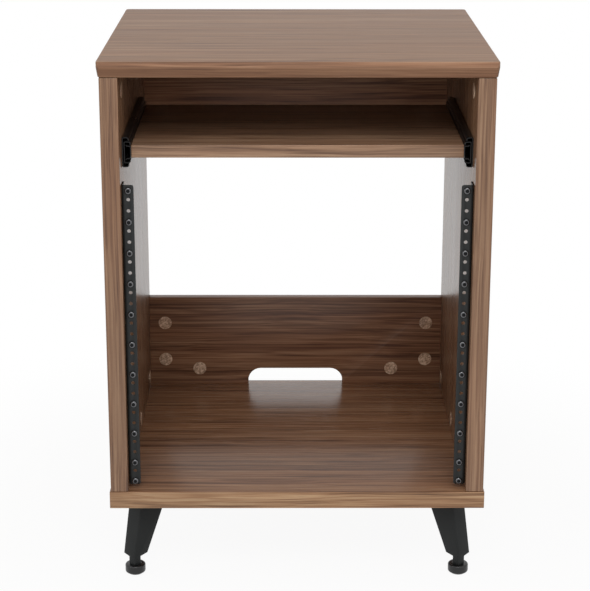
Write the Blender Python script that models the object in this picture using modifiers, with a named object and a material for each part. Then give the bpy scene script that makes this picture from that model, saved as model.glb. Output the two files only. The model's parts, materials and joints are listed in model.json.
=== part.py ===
"""Studio rack: a laminate cabinet with a ten unit rack bay, a pull-out shelf on ball slides, and steel legs.

Metres, +Z up, the front faces -Y. The origin is on the floor, under the middle of the top panel.
"""

import math

import bmesh
import bpy
from mathutils import Matrix, Vector

# Gap that touching pieces keep
GAP = 0.0003

# Boards
TOP_THICKNESS = 0.022
TOP_SIDE_OVERHANG = 0.0035
TOP_FRONT_OVERHANG = 0.002
TOP_BACK_OVERHANG = 0.022
FLOOR_THICKNESS = 0.025
FLOOR_SIDE_OVERHANG = 0.0018
FLOOR_FRONT_OVERHANG = 0.001
SIDE_THICKNESS = 0.025
SIDE_HEIGHT = 0.598
SIDE_DEPTH = 0.476
INNER_WIDTH = 0.484
BACK_THICKNESS = 0.015
LOWER_BACK_HEIGHT = 0.150
UPPER_BACK_HEIGHT = 0.150
EDGE_RADIUS = 0.0008

# Shaped edge of the top: an upright band, a crisp line, a slope that draws in, and a round lower edge
TOP_CORNER_RADIUS = 0.0012
TOP_BAND_HEIGHT = 0.0066
TOP_SLOPE_INSET = 0.0021
TOP_LOWER_RADIUS = 0.0024

# Cable cut-out in the lower back panel
CUTOUT_WIDTH = 0.157
CUTOUT_HEIGHT = 0.0265
CUTOUT_CORNER_RADIUS = 0.021
CUTOUT_OVERSHOOT = 0.005

# Pull-out shelf
SHELF_DEPTH = 0.290
SHELF_THICKNESS = 0.018
SHELF_RECESS = 0.040
SHELF_TOP_DROP = 0.100

# Ball slides: three nested sections of rolled strip, with two ball cages between them
SLIDE_LENGTH = 0.300
SLIDE_HEIGHT = 0.042
SLIDE_WIDTH = 0.0127
SLIDE_SHEET = 0.0012
SLIDE_DROP = 0.0015
BALL_RADIUS = 0.0020
BALL_RUN = 0.0003
CAGE_SHEET = 0.0006
CAGE_BEND = 0.0007
CAGE_FLANGE_PAST_BALLS = 0.0014
CAGE_RUN = 0.00035
CAGE_LENGTH = 0.140
CAGE_BALLS = 4
OUTER_BALL_OFFSET = 0.0064
INNER_BALL_OFFSET = 0.0088
SLIDE_LIP = 0.0042
SLIDE_BEND = 0.0013
SHELF_LIP = 0.0017
SHELF_LIP_BEND = 0.0015
SLIDE_HOLE_RADIUS = 0.0026
SLIDE_HOLE_INSETS = (0.035, 0.163, 0.259)
MIDDLE_HOLE_RADIUS = 0.0045

# Rack rails
RACK_UNITS = 10
RACK_UNIT = 0.04445
RACK_HOLE_STEP = 0.015875
RACK_UNIT_STEP = 0.0127
RACK_HOLE_COLUMNS = 0.4651
RACK_CLEAR_WIDTH = 0.450
RACK_HOLE_RADIUS = 0.0026
RAIL_SHEET = 0.002
RAIL_BEND = 0.003
RAIL_DEPTH = 0.022
RAIL_RECESS = 0.014
RAIL_CORNER = 0.003
RAIL_LOWER_MARGIN = 0.005
RAIL_FLOOR_CLEARANCE = 0.0065
RAIL_SCREW_HOLE_RADIUS = 0.0022
RAIL_SCREW_MARGIN = 0.050
RAIL_SCREW_SETBACK = 0.0132
RAIL_SCREW_COUNT = 4

# Legs: a folded and tapered sheet under a screw plate, with a threaded bush behind its neck
LEG_HEIGHT = 0.1055
LEG_SHEET = 0.0025
LEG_PLATE = 0.003
LEG_FOLD_ANGLE = math.radians(35)
LEG_SIDE_SPLAY = 0.0132
LEG_FRONT_SPLAY = 0.0105
LEG_OUTER_TOP = 0.0189
LEG_OUTER_LOW = 0.0162
LEG_INNER_TOP = 0.0354
LEG_INNER_LOW = 0.0179
LEG_NECK_WIDTH = 0.0083
LEG_NECK_HEIGHT = 0.0125
LEG_SHOULDER = 0.0033
LEG_BLADE_SINK = 0.0018
LEG_PLATE_DEPTH = 0.054
LEG_PLATE_CORNER = 0.006
LEG_PLATE_TUCK = 0.0016
LEG_SCREW_HOLE_RADIUS = 0.0025
LEG_SCREW_INSET = 0.009
LEG_SCREW_PITCH = 0.020

# Levelling feet
FOOT_SIDE_INSET = 0.0305
FOOT_END_INSET = 0.0440
FOOT_HEIGHT = 0.015
FOOT_RADIUS = 0.0148
FOOT_EDGE = 0.0018
FOOT_LOWER_EDGE = 0.0028
FOOT_BASE_RADIUS = 0.0112
FOOT_BASE_HEIGHT = 0.0016
FOOT_BASE_EDGE = 0.0005
FOOT_NECK_GAP = 0.0005
STUD_RADIUS = 0.004
STUD_CHAMFER = 0.0008
STUD_LENGTH = 0.027
BUSH_RADIUS = 0.0062
BUSH_LENGTH = 0.0155

# Cam fittings: a drum under a cover disc, and the bolt that it draws in
CAM_RADIUS = 0.0072
CAM_DEPTH = 0.0118
COVER_RADIUS = 0.0108
COVER_THICKNESS = 0.0009
COVER_EDGE = 0.0004
BOLT_RADIUS = 0.0030
BOLT_AXIS_DEPTH = 0.0075
BOLT_IN_MATE = 0.0105
SIDE_TOP_CAM_EDGE = 0.0255
SIDE_LOW_CAM_EDGE = 0.018
SIDE_CAM_INSET = 0.050
SIDE_CAM_BACK_INSET = 0.036
BACK_CAM_EDGE = 0.0255
LOWER_BACK_CAM_HEIGHTS = {"low": 0.0425, "high": 0.106}
UPPER_BACK_CAM_DROPS = {"low": 0.0685, "high": 0.0265}
BACK_FLOOR_CAM_HEIGHT = 0.0265
BACK_FLOOR_CAM_INSET = 0.082

# Wooden dowels between the side panels and the boards above and below
DOWEL_RADIUS = 0.004
DOWEL_LENGTH = 0.030
DOWEL_IN_BOARD = 0.010
DOWEL_CHAMFER = 0.0008
DOWEL_INSET = 0.115

# Facets of round shapes
CAM_SIDES = 12
HOLE_SIDES = 8
FOOT_SIDES = 16
BALL_SIDES = 6
BALL_RINGS = 4
ARC_STEPS = 4
BEND_STEPS = 2

# Places that follow from the sizes above
TOP_WIDTH = INNER_WIDTH + 2 * (SIDE_THICKNESS + TOP_SIDE_OVERHANG)
TOP_DEPTH = TOP_FRONT_OVERHANG + SIDE_DEPTH + TOP_BACK_OVERHANG
FLOOR_BOTTOM = LEG_HEIGHT + FOOT_HEIGHT + FOOT_NECK_GAP
FLOOR_TOP = FLOOR_BOTTOM + FLOOR_THICKNESS
SIDE_BOTTOM = FLOOR_TOP + GAP
SIDE_TOP = SIDE_BOTTOM + SIDE_HEIGHT
TOP_BOTTOM = SIDE_TOP + GAP
TOP_FRONT = -TOP_DEPTH / 2
SIDE_FRONT = TOP_FRONT + TOP_FRONT_OVERHANG
SIDE_BACK = SIDE_FRONT + SIDE_DEPTH
FLOOR_FRONT = SIDE_FRONT - FLOOR_FRONT_OVERHANG
INNER_SIDE = INNER_WIDTH / 2
OUTER_SIDE = INNER_SIDE + SIDE_THICKNESS
FLOOR_SIDE = OUTER_SIDE + FLOOR_SIDE_OVERHANG
BACK_FRONT = SIDE_BACK - BACK_THICKNESS
SHELF_TOP = TOP_BOTTOM - SHELF_TOP_DROP
SHELF_FRONT = SIDE_FRONT + SHELF_RECESS
SLIDE_CENTRE = SHELF_TOP - SHELF_THICKNESS / 2 - SLIDE_DROP
SHELF_HALF_WIDTH = INNER_SIDE - SLIDE_WIDTH - GAP
RAIL_LENGTH = RACK_UNITS * RACK_UNIT - RACK_HOLE_STEP / 2 + RAIL_LOWER_MARGIN
RAIL_BOTTOM = FLOOR_TOP + RAIL_FLOOR_CLEARANCE
FOOT_SIDE = FLOOR_SIDE - FOOT_SIDE_INSET
FOOT_FRONT = FLOOR_FRONT + FOOT_END_INSET
FOOT_BACK = SIDE_BACK - FOOT_END_INSET
FOLD_SLOPE = math.tan(LEG_FOLD_ANGLE)
BUSH_BEHIND_FOLD = (LEG_SHEET + GAP + BUSH_RADIUS) / math.cos(LEG_FOLD_ANGLE)


def clear_scene():
    for obj in list(bpy.data.objects):
        bpy.data.objects.remove(obj, do_unlink=True)


def new_collection(name):
    collection = bpy.data.collections.new(name)
    bpy.context.scene.collection.children.link(collection)
    return collection


def new_material(name, colour, roughness, metallic=0.0):
    material = bpy.data.materials.new(name)
    material.use_nodes = True
    shader = material.node_tree.nodes["Principled BSDF"]
    shader.inputs["Base Color"].default_value = (*colour, 1.0)
    shader.inputs["Roughness"].default_value = roughness
    shader.inputs["Metallic"].default_value = metallic
    material.diffuse_color = (*colour, 1.0)
    return material


clear_scene()
PARTS = new_collection("studio_rack")
CUTTERS = new_collection("cutters")
LAMINATE = new_material("walnut_laminate", (0.30, 0.19, 0.13), 0.45)
COVER = new_material("cam_cover", (0.36, 0.25, 0.18), 0.50)
DOWEL_WOOD = new_material("beech_dowel", (0.62, 0.44, 0.27), 0.70)
SLIDE_BLACK = new_material("slide_steel", (0.015, 0.015, 0.016), 0.30, 0.6)
BALL_STEEL = new_material("cage_steel", (0.45, 0.45, 0.46), 0.25, 1.0)
RAIL_BLACK = new_material("rail_steel", (0.022, 0.023, 0.024), 0.42, 0.2)
LEG_BLACK = new_material("leg_steel", (0.028, 0.028, 0.029), 0.50, 0.2)
BUSH_STEEL = new_material("bush_steel", (0.40, 0.40, 0.41), 0.35, 1.0)
FOOT_BLACK = new_material("foot_plastic", (0.018, 0.018, 0.018), 0.45)


def add_object(name, bm, material, location=(0.0, 0.0, 0.0), parent=None):
    """A part that takes the mesh, placed by its location, under a parent empty where it has one."""
    mesh = bpy.data.meshes.new(name)
    bm.to_mesh(mesh)
    bm.free()
    return add_mesh(name, mesh, material, Matrix.Translation(location), parent)


def add_mesh(name, mesh, material, matrix, parent=None):
    obj = bpy.data.objects.new(name, mesh)
    PARTS.objects.link(obj)
    if material.name not in mesh.materials:
        mesh.materials.append(material)
    if parent is not None:
        obj.parent = parent
        matrix = Matrix.Translation(-parent.location) @ matrix
    obj.matrix_basis = matrix
    return obj


def add_empty(name, location):
    empty = bpy.data.objects.new(name, None)
    empty.empty_display_size = 0.03
    empty.location = location
    PARTS.objects.link(empty)
    return empty


def add_cutter(name, bm):
    mesh = bpy.data.meshes.new(name)
    bm.to_mesh(mesh)
    bm.free()
    obj = bpy.data.objects.new(name, mesh)
    obj.hide_render = True
    obj.display_type = "WIRE"
    CUTTERS.objects.link(obj)
    return obj


def add_boolean(obj, other, operation):
    modifier = obj.modifiers.new(other.name, "BOOLEAN")
    modifier.object = other
    modifier.operation = operation
    modifier.solver = "EXACT"


def baked(obj, name):
    """The object's finished mesh, with its modifiers taken in. The object is removed."""
    bpy.context.view_layer.update()
    graph = bpy.context.evaluated_depsgraph_get()
    mesh = bpy.data.meshes.new_from_object(obj.evaluated_get(graph))
    mesh.name = name
    bpy.data.objects.remove(obj, do_unlink=True)
    return mesh


def shade_round(mesh, angle=math.radians(35)):
    mesh.shade_smooth()
    mesh.set_sharp_from_angle(angle=angle)


def round_edges(bm, edges, radius, steps=ARC_STEPS):
    bmesh.ops.bevel(
        bm, geom=edges, offset=radius, offset_type="OFFSET", segments=steps,
        profile=0.5, affect="EDGES", clamp_overlap=True,
    )


def arc(centre, radius, start, end, steps):
    """Points of an arc in a plane, from one angle to another in radians."""
    angles = [start + (end - start) * step / steps for step in range(steps + 1)]
    return [(centre[0] + radius * math.cos(a), centre[1] + radius * math.sin(a)) for a in angles]


def filleted(corners, steps=ARC_STEPS):
    """An open outline through (x, y, radius) corners, each turned into an arc of its radius."""
    points = [Vector(corners[0][:2])]
    for before, corner, after in zip(corners, corners[1:], corners[2:]):
        here = Vector(corner[:2])
        back = (Vector(before[:2]) - here).normalized()
        ahead = (Vector(after[:2]) - here).normalized()
        half = back.angle(ahead) / 2
        centre = here + (back + ahead).normalized() * corner[2] / math.sin(half)
        first = here + back * corner[2] / math.tan(half) - centre
        last = here + ahead * corner[2] / math.tan(half) - centre
        turn = first.angle_signed(last)
        for step in range(steps + 1):
            points.append(centre + Matrix.Rotation(-turn * step / steps, 2) @ first)
    points.append(Vector(corners[-1][:2]))
    return points


def extruded_strip(points, along, thickness):
    """A rolled sheet: an outline of 3D points drawn along a vector, with its wall centred on it."""
    bm = bmesh.new()
    verts = [bm.verts.new(point) for point in points]
    edges = [bm.edges.new(pair) for pair in zip(verts, verts[1:])]
    drawn = bmesh.ops.extrude_edge_only(bm, edges=edges)["geom"]
    moved = [item for item in drawn if isinstance(item, bmesh.types.BMVert)]
    bmesh.ops.translate(bm, vec=along, verts=moved)
    mesh = bpy.data.meshes.new("strip")
    bm.to_mesh(mesh)
    bm.free()
    obj = bpy.data.objects.new("strip", mesh)
    PARTS.objects.link(obj)
    wall = obj.modifiers.new("wall", "SOLIDIFY")
    wall.thickness = thickness
    wall.offset = 0.0
    wall.use_even_offset = True
    mesh = baked(obj, "strip")
    bm = bmesh.new()
    bm.from_mesh(mesh)
    bpy.data.meshes.remove(mesh)
    bmesh.ops.recalc_face_normals(bm, faces=bm.faces)
    return bm


def prism(outline, low, high):
    """A flat outline in X and Y raised from one height to another."""
    bm = bmesh.new()
    face = bm.faces.new([bm.verts.new((x, y, low)) for x, y in outline])
    raised = bmesh.ops.extrude_face_region(bm, geom=[face])["geom"]
    moved = [item for item in raised if isinstance(item, bmesh.types.BMVert)]
    bmesh.ops.translate(bm, vec=(0.0, 0.0, high - low), verts=moved)
    bmesh.ops.recalc_face_normals(bm, faces=bm.faces)
    return bm


def turned(name, profile, sides, closed=False):
    """A mesh turned about Z from a profile of (radius, height) that runs down its outer side."""
    bm = bmesh.new()
    verts = [bm.verts.new((radius, 0.0, height)) for radius, height in profile]
    ends = zip(verts, verts[1:] + verts[:1]) if closed else zip(verts, verts[1:])
    for pair in ends:
        bm.edges.new(pair)
    mesh = bpy.data.meshes.new(name)
    bm.to_mesh(mesh)
    bm.free()
    obj = bpy.data.objects.new(name, mesh)
    PARTS.objects.link(obj)
    screw = obj.modifiers.new("turn", "SCREW")
    screw.steps = sides
    screw.render_steps = sides
    screw.use_merge_vertices = True
    screw.merge_threshold = 0.00002
    mesh = baked(obj, name)
    bm = bmesh.new()
    bm.from_mesh(mesh)
    bmesh.ops.recalc_face_normals(bm, faces=bm.faces)
    bm.to_mesh(mesh)
    bm.free()
    shade_round(mesh)
    return mesh


def add_rod(bm, start, direction, length, radius, sides):
    """A cylinder from a point along a direction."""
    direction = Vector(direction).normalized()
    middle = Vector(start) + direction * length / 2
    turn = direction.to_track_quat("Z", "Y").to_matrix().to_4x4()
    bmesh.ops.create_cone(
        bm, cap_ends=True, segments=sides, radius1=radius, radius2=radius, depth=length,
        matrix=Matrix.Translation(middle) @ turn,
    )


def drill(obj, kind, holes, sides=HOLE_SIDES):
    """Cuts round holes, each a (mouth, direction, depth, radius), with one cutter that overshoots the mouth."""
    bm = bmesh.new()
    overshoot = 0.001
    for mouth, direction, depth, radius in holes:
        direction = Vector(direction).normalized()
        add_rod(bm, Vector(mouth) - direction * overshoot, direction, depth + overshoot, radius, sides)
    add_boolean(obj, add_cutter(f"{obj.name}_{kind}", bm), "DIFFERENCE")


def add_panel(name, low, high, material=LAMINATE, parent=None):
    """A board between two corners, with its long edges just broken."""
    size = Vector(high) - Vector(low)
    centre = (Vector(high) + Vector(low)) / 2
    bm = bmesh.new()
    bmesh.ops.create_cube(bm, size=1.0, matrix=Matrix.Diagonal((*size, 1.0)))
    panel = add_object(name, bm, material, centre, parent)
    bevel = panel.modifiers.new("edge", "BEVEL")
    bevel.width = EDGE_RADIUS
    bevel.segments = 1
    return panel


def add_top_panel():
    """The top board: rectangles stacked along the shaped edge, from the underside up."""
    slope_top = TOP_THICKNESS - TOP_CORNER_RADIUS - TOP_BAND_HEIGHT
    slope = filleted([
        (0.0, slope_top, 0.0),
        (TOP_SLOPE_INSET, 0.0, TOP_LOWER_RADIUS),
        (TOP_WIDTH / 2, 0.0, 0.0),
    ])
    edge = slope[-2::-1]
    edge += arc((TOP_CORNER_RADIUS, TOP_THICKNESS - TOP_CORNER_RADIUS), TOP_CORNER_RADIUS,
                math.pi, math.pi / 2, ARC_STEPS)
    bm = bmesh.new()
    rows = []
    for inset, height in edge:
        x = TOP_WIDTH / 2 - inset
        y = TOP_DEPTH / 2 - inset
        rows.append([bm.verts.new((sx * x, sy * y, height)) for sx, sy in
                     ((-1, -1), (1, -1), (1, 1), (-1, 1))])
    bm.faces.new(rows[0])
    bm.faces.new(rows[-1])
    for low, high in zip(rows, rows[1:]):
        for side in range(4):
            after = (side + 1) % 4
            bm.faces.new((low[side], low[after], high[after], high[side]))
    bmesh.ops.recalc_face_normals(bm, faces=bm.faces)
    return add_object("top_panel", bm, LAMINATE, (0.0, 0.0, TOP_BOTTOM))


def add_cutout(panel):
    """The cable cut-out: open at the floor, with two round upper corners."""
    half = CUTOUT_WIDTH / 2
    inner = half - CUTOUT_CORNER_RADIUS
    level = CUTOUT_HEIGHT - CUTOUT_CORNER_RADIUS
    steps = 2 * ARC_STEPS
    outline = [(-half, -CUTOUT_OVERSHOOT)]
    outline += arc((-inner, level), CUTOUT_CORNER_RADIUS, math.pi, math.pi / 2, steps)
    outline += arc((inner, level), CUTOUT_CORNER_RADIUS, math.pi / 2, 0.0, steps)
    outline.append((half, -CUTOUT_OVERSHOOT))
    bm = prism(outline, -BACK_THICKNESS, BACK_THICKNESS)
    upright = Matrix.Rotation(math.pi / 2, 4, "X")
    place = Matrix.Translation((0.0, BACK_FRONT + BACK_THICKNESS / 2, SIDE_BOTTOM))
    bmesh.ops.transform(bm, matrix=place @ upright, verts=bm.verts)
    add_boolean(panel, add_cutter("cable_cutout", bm), "DIFFERENCE")


def add_boards():
    """The fixed boards of the cabinet, by name."""
    boards = {"top_panel": add_top_panel()}
    boards["bottom_panel"] = add_panel(
        "bottom_panel", (-FLOOR_SIDE, FLOOR_FRONT, FLOOR_BOTTOM), (FLOOR_SIDE, SIDE_BACK, FLOOR_TOP))
    for side, name in ((-1, "left_side_panel"), (1, "right_side_panel")):
        near, far = sorted((side * INNER_SIDE, side * OUTER_SIDE))
        boards[name] = add_panel(name, (near, SIDE_FRONT, SIDE_BOTTOM), (far, SIDE_BACK, SIDE_TOP))
    reach = INNER_SIDE - GAP
    boards["lower_back_panel"] = add_panel(
        "lower_back_panel", (-reach, BACK_FRONT, SIDE_BOTTOM),
        (reach, SIDE_BACK, SIDE_BOTTOM + LOWER_BACK_HEIGHT))
    boards["upper_back_panel"] = add_panel(
        "upper_back_panel", (-reach, BACK_FRONT, SIDE_TOP - UPPER_BACK_HEIGHT),
        (reach, SIDE_BACK, SIDE_TOP))
    add_cutout(boards["lower_back_panel"])
    return boards


def cam_fittings():
    """Every cam fitting: its name, the board it sits in, the board it pulls on, its centre on the face,
    the way its face looks, the way its bolt points, and how far it is from the joint."""
    fittings = []
    rows = {
        "front": SIDE_FRONT + SIDE_CAM_INSET,
        "middle": (SIDE_FRONT + SIDE_CAM_INSET + SIDE_BACK - SIDE_CAM_BACK_INSET) / 2,
        "back": SIDE_BACK - SIDE_CAM_BACK_INSET,
    }
    for side, word in ((-1, "left"), (1, "right")):
        host = f"{word}_side_panel"
        face = (-side, 0, 0)
        for row in ("front", "back"):
            centre = (side * INNER_SIDE, rows[row], SIDE_TOP - SIDE_TOP_CAM_EDGE)
            fittings.append((f"{word}_top_{row}_cam", host, "top_panel", centre, face,
                             (0, 0, 1), SIDE_TOP_CAM_EDGE))
        for row, y in rows.items():
            centre = (side * INNER_SIDE, y, SIDE_BOTTOM + SIDE_LOW_CAM_EDGE)
            fittings.append((f"{word}_bottom_{row}_cam", host, "bottom_panel", centre, face,
                             (0, 0, -1), SIDE_LOW_CAM_EDGE))
        x = side * (INNER_SIDE - GAP - BACK_CAM_EDGE)
        for level in ("low", "high"):
            heights = {
                "lower": SIDE_BOTTOM + LOWER_BACK_CAM_HEIGHTS[level],
                "upper": SIDE_TOP - UPPER_BACK_CAM_DROPS[level],
            }
            for back, z in heights.items():
                fittings.append((f"{back}_back_{word}_{level}_cam", f"{back}_back_panel", host,
                                 (x, BACK_FRONT, z), (0, -1, 0), (side, 0, 0), BACK_CAM_EDGE))
        x = side * (INNER_SIDE - GAP - BACK_FLOOR_CAM_INSET)
        fittings.append((f"lower_back_{word}_floor_cam", "lower_back_panel", "bottom_panel",
                         (x, BACK_FRONT, SIDE_BOTTOM + BACK_FLOOR_CAM_HEIGHT), (0, -1, 0),
                         (0, 0, -1), BACK_FLOOR_CAM_HEIGHT))
    return fittings


def cam_mesh(edge):
    """A fitting about its own centre: the cover looks up +Z and the bolt points along +X."""
    low = GAP
    high = GAP + COVER_THICKNESS
    profile = [
        (0.0, high),
        (COVER_RADIUS - COVER_EDGE, high),
        (COVER_RADIUS, high - COVER_EDGE),
        (COVER_RADIUS, low),
        (CAM_RADIUS, low),
        (CAM_RADIUS, -CAM_DEPTH),
        (0.0, -CAM_DEPTH),
    ]
    drum = bpy.data.objects.new("drum", turned("drum", profile, CAM_SIDES))
    PARTS.objects.link(drum)
    bm = bmesh.new()
    start = CAM_RADIUS / 2
    add_rod(bm, (start, 0.0, -BOLT_AXIS_DEPTH), (1, 0, 0), edge + GAP + BOLT_IN_MATE - start,
            BOLT_RADIUS, HOLE_SIDES)
    bolt = add_cutter("bolt", bm)
    add_boolean(drum, bolt, "UNION")
    mesh = baked(drum, "cam_fitting")
    bpy.data.objects.remove(bolt, do_unlink=True)
    shade_round(mesh)
    return mesh


def add_cam_fittings(boards):
    bores = {}
    bolt_holes = {}
    meshes = {}
    for name, host, mate, centre, face, along, edge in cam_fittings():
        centre = Vector(centre)
        face = Vector(face)
        along = Vector(along)
        if edge not in meshes:
            meshes[edge] = cam_mesh(edge)
        turn = Matrix((along, face.cross(along), face)).transposed().to_4x4()
        add_mesh(name, meshes[edge], COVER, Matrix.Translation(centre) @ turn)
        bores.setdefault(host, []).append((centre, -face, CAM_DEPTH + GAP, CAM_RADIUS + GAP))
        axis = centre - face * BOLT_AXIS_DEPTH
        hole = (axis, along, edge + GAP, BOLT_RADIUS + GAP)
        bolt_holes.setdefault(host, []).append(hole)
        mouth = axis + along * (edge + GAP)
        bolt_holes.setdefault(mate, []).append((mouth, along, BOLT_IN_MATE + GAP, BOLT_RADIUS + GAP))
    for board, holes in bores.items():
        drill(boards[board], "cam_bores", holes, CAM_SIDES)
    for board, holes in bolt_holes.items():
        drill(boards[board], "bolt_holes", holes)


def add_dowels(boards):
    """Dowels that locate the side panels under the top and on the floor."""
    half = DOWEL_LENGTH / 2
    profile = [
        (0.0, half),
        (DOWEL_RADIUS - DOWEL_CHAMFER, half),
        (DOWEL_RADIUS, half - DOWEL_CHAMFER),
        (DOWEL_RADIUS, -half + DOWEL_CHAMFER),
        (DOWEL_RADIUS - DOWEL_CHAMFER, -half),
        (0.0, -half),
    ]
    mesh = turned("dowel", profile, HOLE_SIDES)
    radius = DOWEL_RADIUS + GAP
    holes = {"top_panel": [], "bottom_panel": []}
    for side, word in ((-1, "left"), (1, "right")):
        x = side * (INNER_SIDE + SIDE_THICKNESS / 2)
        panel_holes = []
        for row, y in (("front", SIDE_FRONT + DOWEL_INSET), ("back", SIDE_BACK - DOWEL_INSET)):
            for board, joint, up in (("top", SIDE_TOP, 1), ("bottom", SIDE_BOTTOM, -1)):
                in_board = DOWEL_IN_BOARD + GAP
                centre = (x, y, joint + up * (in_board - half))
                add_mesh(f"{word}_{board}_{row}_dowel", mesh, DOWEL_WOOD, Matrix.Translation(centre))
                depth = DOWEL_LENGTH - in_board + GAP
                panel_holes.append(((x, y, joint), (0, 0, -up), depth, radius))
                holes[f"{board}_panel"].append(((x, y, joint + up * GAP), (0, 0, up), in_board, radius))
        drill(boards[f"{word}_side_panel"], "dowel_holes", panel_holes)
    for board, board_holes in holes.items():
        drill(boards[board], "dowel_holes", board_holes)


def slide_sections():
    """Half outlines of the rolled sections, as (offset from the side panel, height, bend) corners.
    Each starts at the free lip, and its lower half mirrors it."""
    sheet = SLIDE_SHEET / 2
    cabinet_web = GAP + sheet
    cabinet_level = SLIDE_HEIGHT / 2 - sheet
    outer_balls = cabinet_level - sheet - BALL_RUN - BALL_RADIUS
    middle_level = outer_balls - BALL_RADIUS - BALL_RUN - sheet
    inner_balls = middle_level - sheet - BALL_RUN - BALL_RADIUS
    shelf_level = inner_balls - BALL_RADIUS - BALL_RUN - sheet
    curl = BALL_RADIUS + BALL_RUN + sheet
    outer_cage_web = cabinet_web + sheet + CAGE_RUN + CAGE_SHEET / 2
    middle_web = outer_cage_web + CAGE_SHEET / 2 + CAGE_RUN + sheet
    inner_cage_web = middle_web + sheet + CAGE_RUN + CAGE_SHEET / 2
    shelf_web = SLIDE_WIDTH - sheet
    return {
        "cabinet": [
            (OUTER_BALL_OFFSET + curl, cabinet_level - SLIDE_LIP, 0.0),
            (OUTER_BALL_OFFSET + curl, cabinet_level, curl),
            (cabinet_web, cabinet_level, SLIDE_BEND),
        ],
        "middle": [
            (INNER_BALL_OFFSET + curl, middle_level - SLIDE_LIP, 0.0),
            (INNER_BALL_OFFSET + curl, middle_level, curl),
            (middle_web, middle_level, SLIDE_BEND),
        ],
        "shelf": [
            (INNER_BALL_OFFSET - curl, shelf_level + SHELF_LIP, 0.0),
            (INNER_BALL_OFFSET - curl, shelf_level, SHELF_LIP_BEND),
            (shelf_web, shelf_level, SLIDE_BEND),
        ],
        "outer_cage": [
            (OUTER_BALL_OFFSET + CAGE_FLANGE_PAST_BALLS, outer_balls, 0.0),
            (outer_cage_web, outer_balls, CAGE_BEND),
        ],
        "inner_cage": [
            (INNER_BALL_OFFSET + CAGE_FLANGE_PAST_BALLS, inner_balls, 0.0),
            (inner_cage_web, inner_balls, CAGE_BEND),
        ],
    }


def section_points(corners, side):
    """The whole outline of a section on one side of the cabinet, at y = 0 and about the slide's centre."""
    whole = corners + [(offset, -height, bend) for offset, height, bend in reversed(corners)]
    outline = filleted(whole, BEND_STEPS)
    return [Vector((side * (INNER_SIDE - offset), 0.0, height)) for offset, height in outline]


def add_slide_member(word, side, kind, corners, hole_radius, parent):
    points = section_points(corners, side)
    bm = extruded_strip(points, (0.0, SLIDE_LENGTH, 0.0), SLIDE_SHEET)
    origin = (0.0, SHELF_FRONT, SLIDE_CENTRE)
    member = add_object(f"{word}_slide_{kind}_member", bm, SLIDE_BLACK, origin, parent)
    web = side * (INNER_SIDE - corners[-1][0])
    reach = 2 * SLIDE_SHEET
    holes = [
        ((web - reach, SHELF_FRONT + inset, SLIDE_CENTRE), (1, 0, 0), 2 * reach, hole_radius)
        for inset in SLIDE_HOLE_INSETS
    ]
    drill(member, "holes", holes)
    shade_round(member.data)
    return member


def add_ball_cage(word, side, kind, corners, parent):
    """A cage strip with its two rows of balls, set back so that it stays in the overlap when drawn out."""
    start = SLIDE_LENGTH / 4 + (SLIDE_LENGTH / 2 - CAGE_LENGTH) / 2
    points = section_points(corners, side)
    bm = extruded_strip(points, (0.0, CAGE_LENGTH, 0.0), CAGE_SHEET)
    origin = (0.0, SHELF_FRONT + start, SLIDE_CENTRE)
    cage = add_object(f"{word}_slide_{kind}", bm, BALL_STEEL, origin, parent)
    balls = bmesh.new()
    ball_offset = OUTER_BALL_OFFSET if kind == "outer_cage" else INNER_BALL_OFFSET
    pitch = CAGE_LENGTH / CAGE_BALLS
    for row in (-1, 1):
        for ball in range(CAGE_BALLS):
            centre = (side * (INNER_SIDE - ball_offset), origin[1] + pitch * (ball + 0.5),
                      SLIDE_CENTRE + row * corners[0][1])
            bmesh.ops.create_uvsphere(balls, u_segments=BALL_SIDES, v_segments=BALL_RINGS,
                                      radius=BALL_RADIUS, matrix=Matrix.Translation(centre))
    add_boolean(cage, add_cutter(f"{cage.name}_balls", balls), "UNION")
    shade_round(cage.data)
    return cage


def add_shelf_and_slides():
    """The pull-out shelf, which rides on the inner sections, and both ball slides."""
    place = (0.0, SHELF_FRONT, SLIDE_CENTRE)
    shelf_slide = add_empty("shelf_slide", place)
    add_panel(
        "pull_out_shelf", (-SHELF_HALF_WIDTH, SHELF_FRONT, SHELF_TOP - SHELF_THICKNESS),
        (SHELF_HALF_WIDTH, SHELF_FRONT + SHELF_DEPTH, SHELF_TOP), parent=shelf_slide)
    sections = slide_sections()
    for side, word in ((-1, "left"), (1, "right")):
        middle_slide = add_empty(f"{word}_middle_slide", place)
        add_slide_member(word, side, "cabinet", sections["cabinet"], SLIDE_HOLE_RADIUS, None)
        add_slide_member(word, side, "middle", sections["middle"], MIDDLE_HOLE_RADIUS, middle_slide)
        add_slide_member(word, side, "shelf", sections["shelf"], SLIDE_HOLE_RADIUS, shelf_slide)
        for kind in ("outer_cage", "inner_cage"):
            cage_slide = add_empty(f"{word}_{kind}_slide", place)
            add_ball_cage(word, side, kind, sections[kind], cage_slide)


def rack_hole_heights():
    """Heights of the holes above the rail's lower end. Its upper end is cut midway between two holes."""
    first = RAIL_LENGTH - RACK_HOLE_STEP / 2
    drops = (0.0, RACK_UNIT_STEP, RACK_UNIT_STEP + RACK_HOLE_STEP)
    return [first - unit * RACK_UNIT - drop for unit in range(RACK_UNITS) for drop in drops]


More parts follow.
